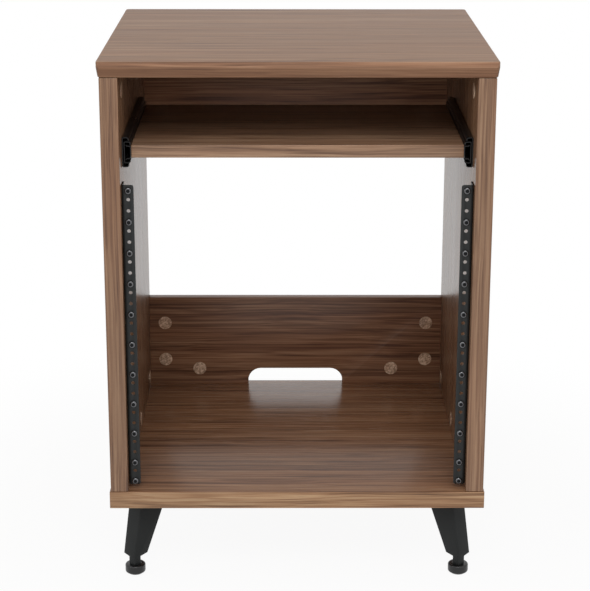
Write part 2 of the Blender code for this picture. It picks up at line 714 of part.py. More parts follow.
def add_rack_rail(word, side):
    """An angle rail: its front flange holds the rack holes and its side flange lies on the side panel."""
    wall = RAIL_SHEET / 2
    free = RACK_CLEAR_WIDTH / 2
    back = INNER_SIDE - GAP - wall
    front = SIDE_FRONT + RAIL_RECESS + wall
    corners = [(free, front, 0.0), (back, front, RAIL_BEND), (back, front + RAIL_DEPTH, 0.0)]
    points = [Vector((side * x, y, 0.0)) for x, y in filleted(corners)]
    bm = extruded_strip(points, (0.0, 0.0, RAIL_LENGTH), RAIL_SHEET)
    corner_edges = [
        edge for edge in bm.edges
        if all(abs(abs(v.co.x) - free) < GAP and min(v.co.z, RAIL_LENGTH - v.co.z) < GAP for v in edge.verts)
        and abs(edge.verts[0].co.z - edge.verts[1].co.z) < GAP
    ]
    round_edges(bm, corner_edges, RAIL_CORNER, ARC_STEPS - 1)
    rail = add_object(f"{word}_rack_rail", bm, RAIL_BLACK, (0.0, 0.0, RAIL_BOTTOM))
    x = side * RACK_HOLE_COLUMNS / 2
    mouth = front - 2 * wall
    holes = [
        ((x, mouth, RAIL_BOTTOM + height), (0, 1, 0), 4 * wall, RACK_HOLE_RADIUS)
        for height in rack_hole_heights()
    ]
    drill(rail, "rack_holes", holes)
    pitch = (RAIL_LENGTH - 2 * RAIL_SCREW_MARGIN) / (RAIL_SCREW_COUNT - 1)
    y = front + RAIL_SCREW_SETBACK
    screws = [
        ((side * (back + 2 * wall), y, RAIL_BOTTOM + RAIL_SCREW_MARGIN + pitch * count), (-side, 0, 0),
         4 * wall, RAIL_SCREW_HOLE_RADIUS)
        for count in range(RAIL_SCREW_COUNT)
    ]
    drill(rail, "screw_holes", screws)
    return rail


def leg_rows():
    """Rows of the leg sheet from the plate down: height, share of the splay, outer width, inner width."""
    shoulder = LEG_NECK_HEIGHT + LEG_SHOULDER
    rows = [
        (-LEG_BLADE_SINK, LEG_OUTER_TOP, LEG_INNER_TOP),
        (shoulder - LEG_HEIGHT, LEG_OUTER_LOW, LEG_INNER_LOW),
        (LEG_NECK_HEIGHT - LEG_HEIGHT, LEG_NECK_WIDTH, LEG_NECK_WIDTH),
        (-LEG_HEIGHT, LEG_NECK_WIDTH, LEG_NECK_WIDTH),
    ]
    splayed = LEG_HEIGHT - shoulder
    return [(height, max(height + splayed, 0.0) / splayed, outer, inner) for height, outer, inner in rows]


def add_leg(word, side, end, foot_y):
    """A leg about its foot's axis, at the underside of the floor. side and end are the way it splays."""
    sheet = bmesh.new()
    strips = []
    for height, share, outer, inner in leg_rows():
        fold_x = side * -LEG_SIDE_SPLAY * share
        fold_y = end * (BUSH_BEHIND_FOLD - LEG_FRONT_SPLAY * share)
        strips.append([
            sheet.verts.new((fold_x + side * outer, fold_y - end * outer * FOLD_SLOPE, height)),
            sheet.verts.new((fold_x, fold_y, height)),
            sheet.verts.new((fold_x - side * inner, fold_y - end * inner * FOLD_SLOPE, height)),
        ])
    for high, low in zip(strips, strips[1:]):
        for column in range(2):
            sheet.faces.new((high[column], high[column + 1], low[column + 1], low[column]))
    bmesh.ops.recalc_face_normals(sheet, faces=sheet.faces)
    if sheet.faces[0].normal.y * end < 0:
        bmesh.ops.reverse_faces(sheet, faces=sheet.faces)
    blade = add_cutter(f"{word}_leg_blade", sheet)
    wall = blade.modifiers.new("wall", "SOLIDIFY")
    wall.thickness = LEG_SHEET
    wall.offset = -1.0
    wall.use_even_offset = True

    inset = LEG_SHEET / 2
    fold_x = side * -LEG_SIDE_SPLAY
    fold_y = end * (BUSH_BEHIND_FOLD - LEG_FRONT_SPLAY)
    deep = fold_y - end * LEG_PLATE_DEPTH
    outer = LEG_OUTER_TOP - inset
    inner = LEG_INNER_TOP - inset
    outline = [
        (fold_x, fold_y - end * LEG_PLATE_TUCK),
        (fold_x + side * outer, fold_y - end * (outer * FOLD_SLOPE + LEG_PLATE_TUCK)),
        (fold_x + side * outer, deep),
        (fold_x - side * inner, deep),
        (fold_x - side * inner, fold_y - end * (inner * FOLD_SLOPE + LEG_PLATE_TUCK)),
    ]
    plate = prism(outline, -LEG_PLATE, 0.0)
    back_edges = [
        edge for edge in plate.edges
        if all(abs(v.co.y - deep) < GAP for v in edge.verts)
        and abs(edge.verts[0].co.x - edge.verts[1].co.x) < GAP
    ]
    round_edges(plate, back_edges, LEG_PLATE_CORNER, ARC_STEPS - 1)
    place = (side * FOOT_SIDE, foot_y, FLOOR_BOTTOM - GAP)
    leg = add_object(f"{word}_leg", plate, LEG_BLACK, place)
    blade.location = place
    add_boolean(leg, blade, "UNION")
    across = LEG_PLATE_DEPTH - LEG_SCREW_INSET
    spots = [
        (side * (outer - LEG_SCREW_INSET), across),
        (-side * (inner - LEG_SCREW_INSET), across),
        (-side * (inner - LEG_SCREW_INSET), across - LEG_SCREW_PITCH),
    ]
    holes = [
        ((place[0] + fold_x + x, place[1] + fold_y - end * y, place[2] - LEG_PLATE), (0, 0, 1),
         LEG_PLATE * 2, LEG_SCREW_HOLE_RADIUS)
        for x, y in spots
    ]
    drill(leg, "screw_holes", holes)
    return leg


def add_legs_and_feet():
    """Four legs, the bushes behind their necks, and the levelling feet that screw into them."""
    stud_top = FOOT_HEIGHT + STUD_LENGTH
    profile = [
        (0.0, stud_top),
        (STUD_RADIUS - STUD_CHAMFER, stud_top),
        (STUD_RADIUS, stud_top - STUD_CHAMFER),
        (STUD_RADIUS, FOOT_HEIGHT),
    ]
    profile += arc((FOOT_RADIUS - FOOT_EDGE, FOOT_HEIGHT - FOOT_EDGE), FOOT_EDGE, math.pi / 2, 0.0, BEND_STEPS)
    profile += arc((FOOT_RADIUS - FOOT_LOWER_EDGE, FOOT_BASE_HEIGHT + FOOT_LOWER_EDGE), FOOT_LOWER_EDGE,
                   0.0, -math.pi / 2, BEND_STEPS)
    profile += [
        (FOOT_BASE_RADIUS, FOOT_BASE_HEIGHT),
        (FOOT_BASE_RADIUS, FOOT_BASE_EDGE),
        (FOOT_BASE_RADIUS - FOOT_BASE_EDGE, 0.0),
        (0.0, 0.0),
    ]
    foot_mesh = turned("levelling_foot", profile, FOOT_SIDES)
    bore = STUD_RADIUS + GAP
    bush_mesh = turned("leg_bush", [
        (bore, BUSH_LENGTH), (BUSH_RADIUS, BUSH_LENGTH), (BUSH_RADIUS, 0.0), (bore, 0.0),
    ], CAM_SIDES, closed=True)
    for end, row, foot_y in ((-1, "front", FOOT_FRONT), (1, "back", FOOT_BACK)):
        for side, flank in ((-1, "left"), (1, "right")):
            word = f"{row}_{flank}"
            add_leg(word, side, end, foot_y)
            bush_z = FOOT_HEIGHT + FOOT_NECK_GAP + GAP
            spot = Matrix.Translation((side * FOOT_SIDE, foot_y, bush_z))
            add_mesh(f"{word}_leg_bush", bush_mesh, BUSH_STEEL, spot)
            spot = Matrix.Translation((side * FOOT_SIDE, foot_y, 0.0))
            add_mesh(f"{word}_levelling_foot", foot_mesh, FOOT_BLACK, spot)


def build():
    boards = add_boards()
    add_cam_fittings(boards)
    add_dowels(boards)
    add_shelf_and_slides()
    for side, word in ((-1, "left"), (1, "right")):
        add_rack_rail(word, side)
    add_legs_and_feet()


build()
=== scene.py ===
import json
import math

import bmesh
import bpy
from mathutils import Matrix, Vector

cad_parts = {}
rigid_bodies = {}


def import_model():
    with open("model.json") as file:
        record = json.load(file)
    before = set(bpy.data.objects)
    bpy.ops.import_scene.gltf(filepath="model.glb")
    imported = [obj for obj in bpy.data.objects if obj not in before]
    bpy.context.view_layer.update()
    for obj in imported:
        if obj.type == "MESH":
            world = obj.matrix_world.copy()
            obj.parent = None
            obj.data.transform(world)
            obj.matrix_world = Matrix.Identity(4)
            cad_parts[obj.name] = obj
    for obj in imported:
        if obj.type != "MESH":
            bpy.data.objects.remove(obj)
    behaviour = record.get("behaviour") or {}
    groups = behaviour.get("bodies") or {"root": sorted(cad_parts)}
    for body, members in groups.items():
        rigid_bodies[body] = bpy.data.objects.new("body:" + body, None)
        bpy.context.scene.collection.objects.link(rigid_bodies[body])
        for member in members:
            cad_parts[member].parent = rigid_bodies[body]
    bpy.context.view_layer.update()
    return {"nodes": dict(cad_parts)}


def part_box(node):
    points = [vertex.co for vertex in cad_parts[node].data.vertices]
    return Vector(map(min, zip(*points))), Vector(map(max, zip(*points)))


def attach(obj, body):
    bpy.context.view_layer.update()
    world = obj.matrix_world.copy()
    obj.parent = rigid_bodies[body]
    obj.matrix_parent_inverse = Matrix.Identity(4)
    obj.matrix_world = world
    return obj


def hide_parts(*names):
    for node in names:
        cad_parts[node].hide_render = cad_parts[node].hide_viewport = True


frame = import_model()

workshop = bpy.data.collections.new("workshop")  # shapes and cutters that don't show
bpy.context.scene.collection.children.link(workshop)
sides = ((-1, "left"), (1, "right"))


class Wire:  # a socket that can stand in a sum
    def __init__(self, net, socket):
        self.net = net
        self.socket = socket

    def __add__(self, other):
        return self.net.calc("ADD", self, other)

    __radd__ = __add__

    def __sub__(self, other):
        return self.net.calc("SUBTRACT", self, other)

    def __rsub__(self, other):
        return self.net.calc("SUBTRACT", other, self)

    def __mul__(self, other):
        return self.net.calc("MULTIPLY", self, other)

    __rmul__ = __mul__

    def __abs__(self):
        return self.net.calc("ABSOLUTE", self)

    def above(self, edge, softness):  # 0 under the edge, 1 over it
        return self.net.node("ShaderNodeMapRange", {"interpolation_type": "SMOOTHSTEP"},
                             {"Value": self, "From Min": edge - softness, "From Max": edge + softness})


class Net:  # a node tree, with one way to add any node
    def __init__(self, tree):
        self.tree = tree

    def node(self, kind, settings=None, values=None, out=0):
        made = self.tree.nodes.new(kind)
        for name, value in (settings or {}).items():
            if name == "stops":
                ramp = made.color_ramp
                while len(ramp.elements) < len(value):
                    ramp.elements.new(0.5)
                for element, (place, colour) in zip(ramp.elements, value):
                    element.position = place
                    element.color = (*colour, 1.0)
            else:
                setattr(made, name, value)
        for key, value in (values or {}).items():
            self.feed(made.inputs[key], value)
        return Wire(self, made.outputs[out])

    def feed(self, socket, value):
        if isinstance(value, Wire):
            self.tree.links.new(value.socket, socket)
        else:
            socket.default_value = value

    def calc(self, operation, *values):
        return self.node("ShaderNodeMath", {"operation": operation}, dict(enumerate(values)))

    def mix(self, factor, first, second, blend="MIX"):
        return self.node("ShaderNodeMix", {"data_type": "RGBA", "blend_type": blend},
                         {0: factor, 6: first, 7: second}, 2)

    def split(self, vector):  # the three numbers of a vector
        axes = self.node("ShaderNodeSeparateXYZ", None, {0: vector}).socket.node
        return tuple(Wire(self, axes.outputs[i]) for i in range(3))

    def noise(self, place, detail=3.0, roughness=0.55, scale=1.0):
        return self.node("ShaderNodeTexNoise", None,
                         {"Vector": place, "Scale": scale, "Detail": detail, "Roughness": roughness})

    def bump(self, height, strength, distance):
        return self.node("ShaderNodeBump", None,
                         {"Height": height, "Strength": strength, "Distance": distance})


def srgb(red, green, blue):  # a colour as it is read on screen, 0 to 255
    def linear(value):
        value = value / 255
        return value / 12.92 if value <= 0.04045 else ((value + 0.055) / 1.055) ** 2.4
    return (linear(red), linear(green), linear(blue))


def newMaterial(name, colour, roughness, metallic=0.0, specular=0.5):
    material = bpy.data.materials.new(name)
    material.use_nodes = True
    net = Net(material.node_tree)
    shader = material.node_tree.nodes["Principled BSDF"]
    for key, value in (("Base Color", (*colour, 1.0)), ("Roughness", roughness),
                       ("Metallic", metallic), ("Specular IOR Level", specular)):
        shader.inputs[key].default_value = value
    material.diffuse_color = (*colour, 1.0)
    return material, net, shader


# Printed wood laminate. The tones go from the dark growth lines to the pale streaks
laminateSettings = {
    "dark": srgb(88, 61, 45),
    "middle": srgb(128, 96, 72),
    "light": srgb(162, 130, 103),
    "redTint": (1.0, 0.93, 0.89),
    "roughness": 0.20,
    "specular": 0.5,
    "contrast": 0.9,
    "lines": 0.15,
    "bumpStrength": 0.10,
    # painted light and shade: the edge and under tints, left at 1.0 here
    "edgeTint": (1.0, 1.0, 1.0),
    "underTint": (1.0, 1.0, 1.0),
}
grainLayers = {  # scales along and across the grain, shift, detail, roughness, share of the tone
    "broad": ((0.6, 15.0), 1.0, 1.0, 0.55, 0.25),
    "band": ((0.9, 52.0), 3.0, 2.0, 0.55, 0.35),
    "figure": ((1.6, 150.0), 5.0, 2.0, 0.5, 0.65),
    "streak": ((4.2, 380.0), 9.0, 2.0, 0.5, 1.2),
    "fine": ((12.0, 1000.0), 13.0, 2.0, 0.55, 0.8),
}
grainSettings = {  # wander bends the grain, and rings are its dark lines
    "seedSteps": (3.7, 1.9, -2.3),
    "wanderScales": (3.2, 9.0),
    "wanderReach": 0.012,
    "ringScales": (1.3, 36.0),
    "ringShift": 21.0,
    "ringHalf": 0.016,
    "ringSoft": 0.014,
    "redScales": (1.9, 44.0),
    "redShift": 31.0,
    "redFrom": 0.52,
    "redSoft": 0.14,
    "redShare": 0.8,
    "toneStops": (0.12, 0.50, 0.88),
    "poreFrom": 0.13,
    "poreSoft": 0.05,
    "poreShare": 0.30,
    "streakGloss": 0.14,
    "poreGloss": 0.10,
    "bumpDistance": 0.00022,
}
insideTones = {"dark": srgb(84, 54, 40), "middle": srgb(130, 93, 69), "light": srgb(166, 128, 100),
               "redTint": (1.0, 0.90, 0.85)}
boardLooks = {  # the way the grain runs, a seed, and what differs from the settings above
    # the top's under tint is painted shade on faces that lean down
    "laminateTop": ("x", 1.3, {"dark": srgb(96, 70, 54), "middle": srgb(139, 106, 81),
                               "light": srgb(172, 140, 112), "roughness": 0.50, "specular": 0.32,
                               "contrast": 0.85, "edgeTint": (1.13, 1.08, 1.10),
                               "underTint": (0.60, 0.54, 0.48)}),
    # the floor board's edge tint is painted light: paler front and back edges, as lit from the floor
    # below
    "laminateFloor": ("x", 4.1, {"middle": srgb(139, 101, 74), "light": srgb(168, 132, 102),
                                 "roughness": 0.23, "specular": 0.23, "contrast": 1.0,
                                 "edgeTint": (1.27, 1.45, 1.50)}),
    "laminateLeft": ("z", 2.2, {"roughness": 0.28, "specular": 0.46, "contrast": 0.8}),
    "laminateRight": ("z", 7.9, {"roughness": 0.28, "specular": 0.46, "contrast": 0.8}),
    "laminateLowBack": ("x", 5.6, {**insideTones, "roughness": 0.34, "specular": 0.4,
                                   "contrast": 1.1}),
    "laminateHighBack": ("x", 6.7, {**insideTones, "roughness": 0.40, "specular": 0.2,
                                    "contrast": 1.1}),
    # the shelf's raised tones are painted light on its top, which lies in shade under the top board
    "laminateShelf": ("x", 8.8, {"middle": srgb(146, 115, 91), "light": srgb(182, 151, 124),
                                 "roughness": 0.30, "contrast": 1.0,
                                 "edgeTint": (0.82, 0.77, 0.72)}),
    "coverFoil": ("slant", 3.1, {
        "dark": srgb(140, 110, 90), "middle": srgb(194, 162, 136), "light": srgb(232, 206, 180),
        "roughness": 0.34, "contrast": 1.5, "lines": 0.0}),
    "beechDowel": ("z", 5.0, {
        "dark": srgb(176, 132, 92), "middle": srgb(203, 165, 120), "light": srgb(222, 190, 150),
        "roughness": 0.65, "contrast": 0.8, "lines": 0.1}),
}


def facingAxes(net):  # the way a face points, as three numbers
    return net.split(net.node("ShaderNodeTexCoord", None, None, "Normal"))


def grainAxes(net, along):  # distances along the grain, across it and into it
    place = net.node("ShaderNodeTexCoord", None, None, "Object")
    if along == "slant":  # cut at an angle, so its grain leans on every face
        place = net.node("ShaderNodeMapping", {"vector_type": "POINT"},
                         {"Vector": place, "Rotation": (0.35, 0.55, 0.9)})
        return net.split(place)
    x, y, z = net.split(place)
    if along == "z":
        return z, x, y
    end = abs(facingAxes(net)[0]).above(0.7, 0.02)  # an end edge's band has grain that runs along it
    return x + (y - x) * end, y + (x - y) * end, z


def laminate(name, along, seed, changes):
    s = {**laminateSettings, **changes}
    g = grainSettings
    material, net, shader = newMaterial(name, s["middle"], s["roughness"], specular=s["specular"])
    grain, across, into = grainAxes(net, along)

    def stretched(scales, shift, drift=0.0):  # a place on the board, drawn out along the grain
        steps = g["seedSteps"]
        return net.node("ShaderNodeCombineXYZ", None, {
            0: grain * scales[0] + (seed * steps[0] + shift),
            1: (across + drift) * scales[1] + seed * steps[1],
            2: (into + drift) * scales[1] + seed * steps[2]})

    wander = (net.noise(stretched(g["wanderScales"], 0.0), 2.0) - 0.5) * g["wanderReach"]
    layers = {}
    mixture = 0.0
    for layer, (scales, shift, detail, rough, share) in grainLayers.items():
        layers[layer] = net.noise(stretched(scales, shift, wander), detail, rough) - 0.5
        mixture = mixture + layers[layer] * share
    ring = net.noise(stretched(g["ringScales"], g["ringShift"], wander), 2.0, 0.6) - 0.5
    line = 1.0 - abs(ring).above(g["ringHalf"], g["ringSoft"])
    tone = 0.5 + s["contrast"] * mixture - line * s["lines"]
    colour = net.node("ShaderNodeValToRGB", {
        "stops": list(zip(g["toneStops"], (s["dark"], s["middle"], s["light"])))}, {0: tone})

    def tinted(mask, tint):
        return net.mix(mask, colour, net.mix(1.0, colour, (*tint, 1.0), "MULTIPLY"))

    redder = net.noise(stretched(g["redScales"], g["redShift"], wander), 1.0)
    colour = tinted(redder.above(g["redFrom"], g["redSoft"]) * g["redShare"], s["redTint"])
    _, facingY, facingZ = facingAxes(net)
    if s["edgeTint"] != laminateSettings["edgeTint"]:  # painted light and shade on the front and back edges, lighter on top and floor, darker on the shelf
        colour = tinted(abs(facingY).above(0.7, 0.02), s["edgeTint"])
    if s["underTint"] != laminateSettings["underTint"]:  # painted shade: darker on faces that lean down, the lower edge band and the underside
        colour = tinted((0.0 - facingZ).above(0.08, 0.03), s["underTint"])
    pore = layers["fine"].above(g["poreFrom"], g["poreSoft"])
    colour = net.mix(pore * g["poreShare"], colour, (*s["dark"], 1.0))
    gloss = s["roughness"] + layers["streak"] * g["streakGloss"] + pore * g["poreGloss"]
    height = layers["streak"] * 0.5 + layers["figure"] * 0.3 - pore * 0.4 - line * 0.3
    net.feed(shader.inputs["Base Color"], colour)
    net.feed(shader.inputs["Roughness"], gloss)
    net.feed(shader.inputs["Normal"], net.bump(height, s["bumpStrength"], g["bumpDistance"]))
    return material


# Powder coats, black zinc and moulded plastic: a colour with soft clouds and a fine skin
coatLooks = {  # colour, roughness, skin scale, skin depth, specular
    "railPowderCoat": (srgb(30, 32, 32), 0.46, 900.0, 0.00005, 0.30),
    "legPowderCoat": (srgb(26, 28, 28), 0.52, 1100.0, 0.00008, 0.24),
    "slideBlackZinc": (srgb(19, 19, 20), 0.30, 500.0, 0.00002, 0.40),
    "screwBlack": (srgb(16, 17, 18), 0.16, 700.0, 0.00001, 0.55),
    "footPlastic": (srgb(20, 20, 21), 0.30, 1600.0, 0.00003, 0.45),
}
coatSettings = {"cloudScale": 22.0, "dark": 0.82, "light": 1.2, "lift": 0.002, "cloudGloss": 0.12,
                "skinGloss": 0.05, "bumpStrength": 0.5}


def coated(name, colour, roughness, skinScale, skinDepth, specular):
    s = coatSettings
    material, net, shader = newMaterial(name, colour, roughness, specular=specular)
    place = net.node("ShaderNodeTexCoord", None, None, "Object")
    skin = net.noise(place, 2.0, 0.5, skinScale)
    cloud = net.noise(place, 3.0, 0.55, s["cloudScale"])
    dark = tuple(c * s["dark"] for c in colour)
    light = tuple(c * s["light"] + s["lift"] for c in colour)
    gloss = roughness + (cloud - 0.5) * s["cloudGloss"] + (skin - 0.5) * s["skinGloss"]
    net.feed(shader.inputs["Base Color"], net.mix(cloud, (*dark, 1.0), (*light, 1.0)))
    net.feed(shader.inputs["Roughness"], gloss)
    net.feed(shader.inputs["Normal"], net.bump(skin, s["bumpStrength"], skinDepth))
    return material


# socket is the colour of the painted shade down in the rack screw's socket
rackScrewSettings = {"bright": (0.16, 0.16, 0.165), "worn": (0.10, 0.10, 0.105),
                     "socket": (0.008, 0.008, 0.009), "socketShadeFrom": 0.0012, "socketShadeSoft": 0.0003,
                     "wearScale": 260.0, "roughness": 0.16, "specular": 0.3}


def rackScrewFinish(front):  # bright black zinc on the head, with painted shade down in its socket: near black, dull, not metal
    s = rackScrewSettings
    material, net, shader = newMaterial("rackScrewZinc", s["bright"], s["roughness"], metallic=1.0,
                                        specular=s["specular"])
    place = net.node("ShaderNodeTexCoord", None, None, "Object")
    # painted shade: the deep part of the socket
    sunk = net.split(place)[1].above(front - s["socketShadeFrom"], s["socketShadeSoft"])
    worn = net.noise(place, 2.0, 0.5, s["wearScale"])
    metal = net.mix(worn, (*s["worn"], 1.0), (*s["bright"], 1.0))
    net.feed(shader.inputs["Base Color"], net.mix(sunk, metal, (*s["socket"], 1.0)))
    net.feed(shader.inputs["Metallic"], 1.0 - sunk)
    net.feed(shader.inputs["Roughness"], s["roughness"] + worn * 0.08 + sunk * 0.5)
    return material


# Bare and plated steel, drawn lengthwise
steelLooks = {  # colour, roughness, stretch of the drawn lines
    "cageStrip": ((0.50, 0.49, 0.47), 0.32, (400.0, 12.0, 400.0)),
    "ballSteel": ((0.72, 0.72, 0.72), 0.14, (60.0, 60.0, 60.0)),
    "zincPlate": ((0.56, 0.57, 0.58), 0.34, (300.0, 300.0, 40.0)),
}
steelSettings = {"cloudScale": 60.0, "dark": 0.75, "cloudShare": 0.6, "lineShare": 0.4,
                 "lineGloss": 0.15, "bumpStrength": 0.3, "bumpDistance": 0.00005}


def bareSteel(name, colour, roughness, stretch):
    s = steelSettings
    material, net, shader = newMaterial(name, colour, roughness, metallic=1.0)
    place = net.node("ShaderNodeTexCoord", None, None, "Object")
    drawn = net.node("ShaderNodeMapping", None, {"Vector": place, "Scale": stretch})
    lines = net.noise(drawn, 3.0, 0.6)
    cloud = net.noise(place, 2.0, 0.5, s["cloudScale"])
    dark = tuple(c * s["dark"] for c in colour)
    tone = cloud * s["cloudShare"] + lines * s["lineShare"]
    net.feed(shader.inputs["Base Color"], net.mix(tone, (*dark, 1.0), (*colour, 1.0)))
    net.feed(shader.inputs["Roughness"], roughness + (lines - 0.5) * s["lineGloss"])
    net.feed(shader.inputs["Normal"], net.bump(lines, s["bumpStrength"], s["bumpDistance"]))
    return material


finishes = {}
for name, look in boardLooks.items():
    finishes[name] = laminate(name, *look)
for name, look in coatLooks.items():
    finishes[name] = coated(name, *look)
for name, look in steelLooks.items():
    finishes[name] = bareSteel(name, *look)
finishes["rackScrewZinc"] = rackScrewFinish(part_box("left_rack_rail")[0].y)
print("finishes are ready:", len(finishes))


def newObject(name, mesh, collection=workshop):
    made = bpy.data.objects.new(name, mesh)
    collection.objects.link(made)
    return made


def meshOf(name, bm):
    bmesh.ops.recalc_face_normals(bm, faces=bm.faces)
    mesh = bpy.data.meshes.new(name)
    bm.to_mesh(mesh)
    bm.free()
    return mesh


def opened(mesh):  # a bmesh that holds the mesh
    bm = bmesh.new()
    bm.from_mesh(mesh)
    return bm


def baked(made):  # the finished mesh, modifiers taken in
    bpy.context.view_layer.update()
    graph = bpy.context.evaluated_depsgraph_get()
    mesh = bpy.data.meshes.new_from_object(made.evaluated_get(graph))
    bpy.data.objects.remove(made, do_unlink=True)
    return mesh


def smooth(mesh, degrees=40):
    mesh.shade_smooth()
    mesh.set_sharp_from_angle(angle=math.radians(degrees))


def finish(name, mesh, material, body, nodes=(), degrees=40):  # a shown piece
    mesh.name = name
    if material is not None:
        mesh.materials.clear()
        mesh.materials.append(material)
    smooth(mesh, degrees)
    made = bpy.data.objects.new(name, mesh)
    bpy.context.scene.collection.objects.link(made)
    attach(made, body)
    if nodes:
        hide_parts(*nodes)


def bevelled(mesh, width, segments=3, degrees=30):
    made = newObject("bevelled", mesh)
    bevel = made.modifiers.new("edge", "BEVEL")
    bevel.width = width
    bevel.segments = segments
    bevel.limit_method = "ANGLE"
    bevel.angle_limit = math.radians(degrees)
    return baked(made)


def arc(centre, radius, start, end, steps):
    angles = [start + (end - start) * step / steps for step in range(steps + 1)]
    return [(centre[0] + radius * math.cos(a), centre[1] + radius * math.sin(a)) for a in angles]


def filleted(corners, steps=8):  # an outline through (x, y, radius) corners
    points = [Vector(corners[0][:2])]
    for before, corner, after in zip(corners, corners[1:], corners[2:]):
        here = Vector(corner[:2])
        back = (Vector(before[:2]) - here).normalized()
        ahead = (Vector(after[:2]) - here).normalized()
        half = back.angle(ahead) / 2
        centre = here + (back + ahead).normalized() * corner[2] / math.sin(half)
        first = here + back * corner[2] / math.tan(half) - centre
        last = here + ahead * corner[2] / math.tan(half) - centre
        turn = first.angle_signed(last)
        for step in range(steps + 1):
            points.append(centre + Matrix.Rotation(-turn * step / steps, 2) @ first)
    points.append(Vector(corners[-1][:2]))
    return points


def stripMesh(points, along, thickness):  # rolled sheet: an outline drawn along a vector
    bm = bmesh.new()
    verts = [bm.verts.new(point) for point in points]
    edges = [bm.edges.new(pair) for pair in zip(verts, verts[1:])]
    drawn = bmesh.ops.extrude_edge_only(bm, edges=edges)["geom"]
    bmesh.ops.translate(bm, vec=along, verts=[v for v in drawn if isinstance(v, bmesh.types.BMVert)])
    mesh = bpy.data.meshes.new("strip")
    bm.to_mesh(mesh)
    bm.free()
    made = newObject("strip", mesh)
    wall = made.modifiers.new("wall", "SOLIDIFY")
    wall.thickness = thickness
    wall.offset = 0.0
    wall.use_even_offset = True
    return meshOf("strip", opened(baked(made)))


def prismMesh(outline, low, high, turn=None):
    bm = bmesh.new()
    face = bm.faces.new([bm.verts.new((x, y, low)) for x, y in outline])
    raised = bmesh.ops.extrude_face_region(bm, geom=[face])["geom"]
    lifted = [item for item in raised if isinstance(item, bmesh.types.BMVert)]
    bmesh.ops.translate(bm, vec=(0.0, 0.0, high - low), verts=lifted)
    if turn is not None:
        bmesh.ops.transform(bm, matrix=turn, verts=bm.verts)
    return meshOf("prism", bm)


def turnedMesh(profile, steps, closed=False):  # turned about Z from (radius, height), top to bottom
    bm = bmesh.new()
    verts = [bm.verts.new((radius, 0.0, height)) for radius, height in profile]
    for pair in zip(verts, verts[1:] + verts[:1]) if closed else zip(verts, verts[1:]):
        bm.edges.new(pair)
    mesh = bpy.data.meshes.new("turned")
    bm.to_mesh(mesh)
    bm.free()
    made = newObject("turned", mesh)
    screw = made.modifiers.new("turn", "SCREW")
    screw.steps = steps
    screw.render_steps = steps
    screw.use_merge_vertices = True
    screw.merge_threshold = 0.00001
    return meshOf("turned", opened(baked(made)))


def joined(meshes):
    bm = bmesh.new()
    for mesh in meshes:
        bm.from_mesh(mesh)
    mesh = bpy.data.meshes.new("joined")
    bm.to_mesh(mesh)
    bm.free()
    return mesh


def moved(mesh, place):
    copy = mesh.copy()
    copy.transform(Matrix.Translation(place))
    return copy


def cut(mesh, cutters):
    made = newObject("cut", mesh)
    tool = newObject("tool", joined(cutters))
    modifier = made.modifiers.new("cut", "BOOLEAN")
    modifier.object = tool
    modifier.operation = "DIFFERENCE"
    modifier.solver = "EXACT"
    modifier.use_self = True
    mesh = baked(made)
    bpy.data.objects.remove(tool, do_unlink=True)
    return mesh


def rod(start, direction, length, radius, steps=32):
    direction = Vector(direction).normalized()
    bm = bmesh.new()
    turn = direction.to_track_quat("Z", "Y").to_matrix().to_4x4()
    place = Matrix.Translation(Vector(start) + direction * length / 2) @ turn
    bmesh.ops.create_cone(bm, cap_ends=True, segments=steps, radius1=radius, radius2=radius,
                          depth=length, matrix=place)
    return meshOf("rod", bm)


def newTree(name, inputs):
    tree = bpy.data.node_groups.new(name, "GeometryNodeTree")
    tree.interface.new_socket("Geometry", in_out="OUTPUT", socket_type="NodeSocketGeometry")
    ids = {}
    for title, kind in inputs:
        ids[title] = tree.interface.new_socket(title, in_out="INPUT", socket_type=kind).identifier
    net = Net(tree)
    start = tree.nodes.new("NodeGroupInput")
    end = tree.nodes.new("NodeGroupOutput")
    return tree, net, {title: Wire(net, start.outputs[title]) for title, _ in inputs}, end, ids


def endTree(net, end, shape, material):
    real = net.node("GeometryNodeRealizeInstances", None, {0: shape})
    net.feed(end.inputs[0], net.node("GeometryNodeSetMaterial", None, {
        "Geometry": real, "Material": material}))


def makeSpotTree():  # one shape on every point, turned by the point's own turn
    tree, net, given, end, ids = newTree("shapeOnSpots", (
        ("Geometry", "NodeSocketGeometry"), ("Shape", "NodeSocketObject"),
        ("Size", "NodeSocketFloat"), ("Finish", "NodeSocketMaterial")))
    shape = net.node("GeometryNodeObjectInfo", None, {"Object": given["Shape"]}, "Geometry")
    turn = net.node("GeometryNodeInputNamedAttribute", {"data_type": "FLOAT_VECTOR"}, {"Name": "turn"})
    placed = net.node("GeometryNodeInstanceOnPoints", None, {
        "Points": given["Geometry"], "Instance": shape, "Rotation": turn, "Scale": given["Size"]})
    endTree(net, end, placed, given["Finish"])
    return tree, ids


def makeRowTree():  # one shape along a straight row of equal steps
    tree, net, given, end, ids = newTree("shapeInRow", (
        ("Shape", "NodeSocketObject"), ("Count", "NodeSocketInt"), ("Start", "NodeSocketVector"),
        ("Step", "NodeSocketVector"), ("Finish", "NodeSocketMaterial")))
    shape = net.node("GeometryNodeObjectInfo", None, {"Object": given["Shape"]}, "Geometry")
    row = net.node("GeometryNodeMeshLine", {"mode": "OFFSET"}, {
        "Count": given["Count"], "Start Location": given["Start"], "Offset": given["Step"]})
    placed = net.node("GeometryNodeInstanceOnPoints", None, {"Points": row, "Instance": shape})
    endTree(net, end, placed, given["Finish"])
    return tree, ids


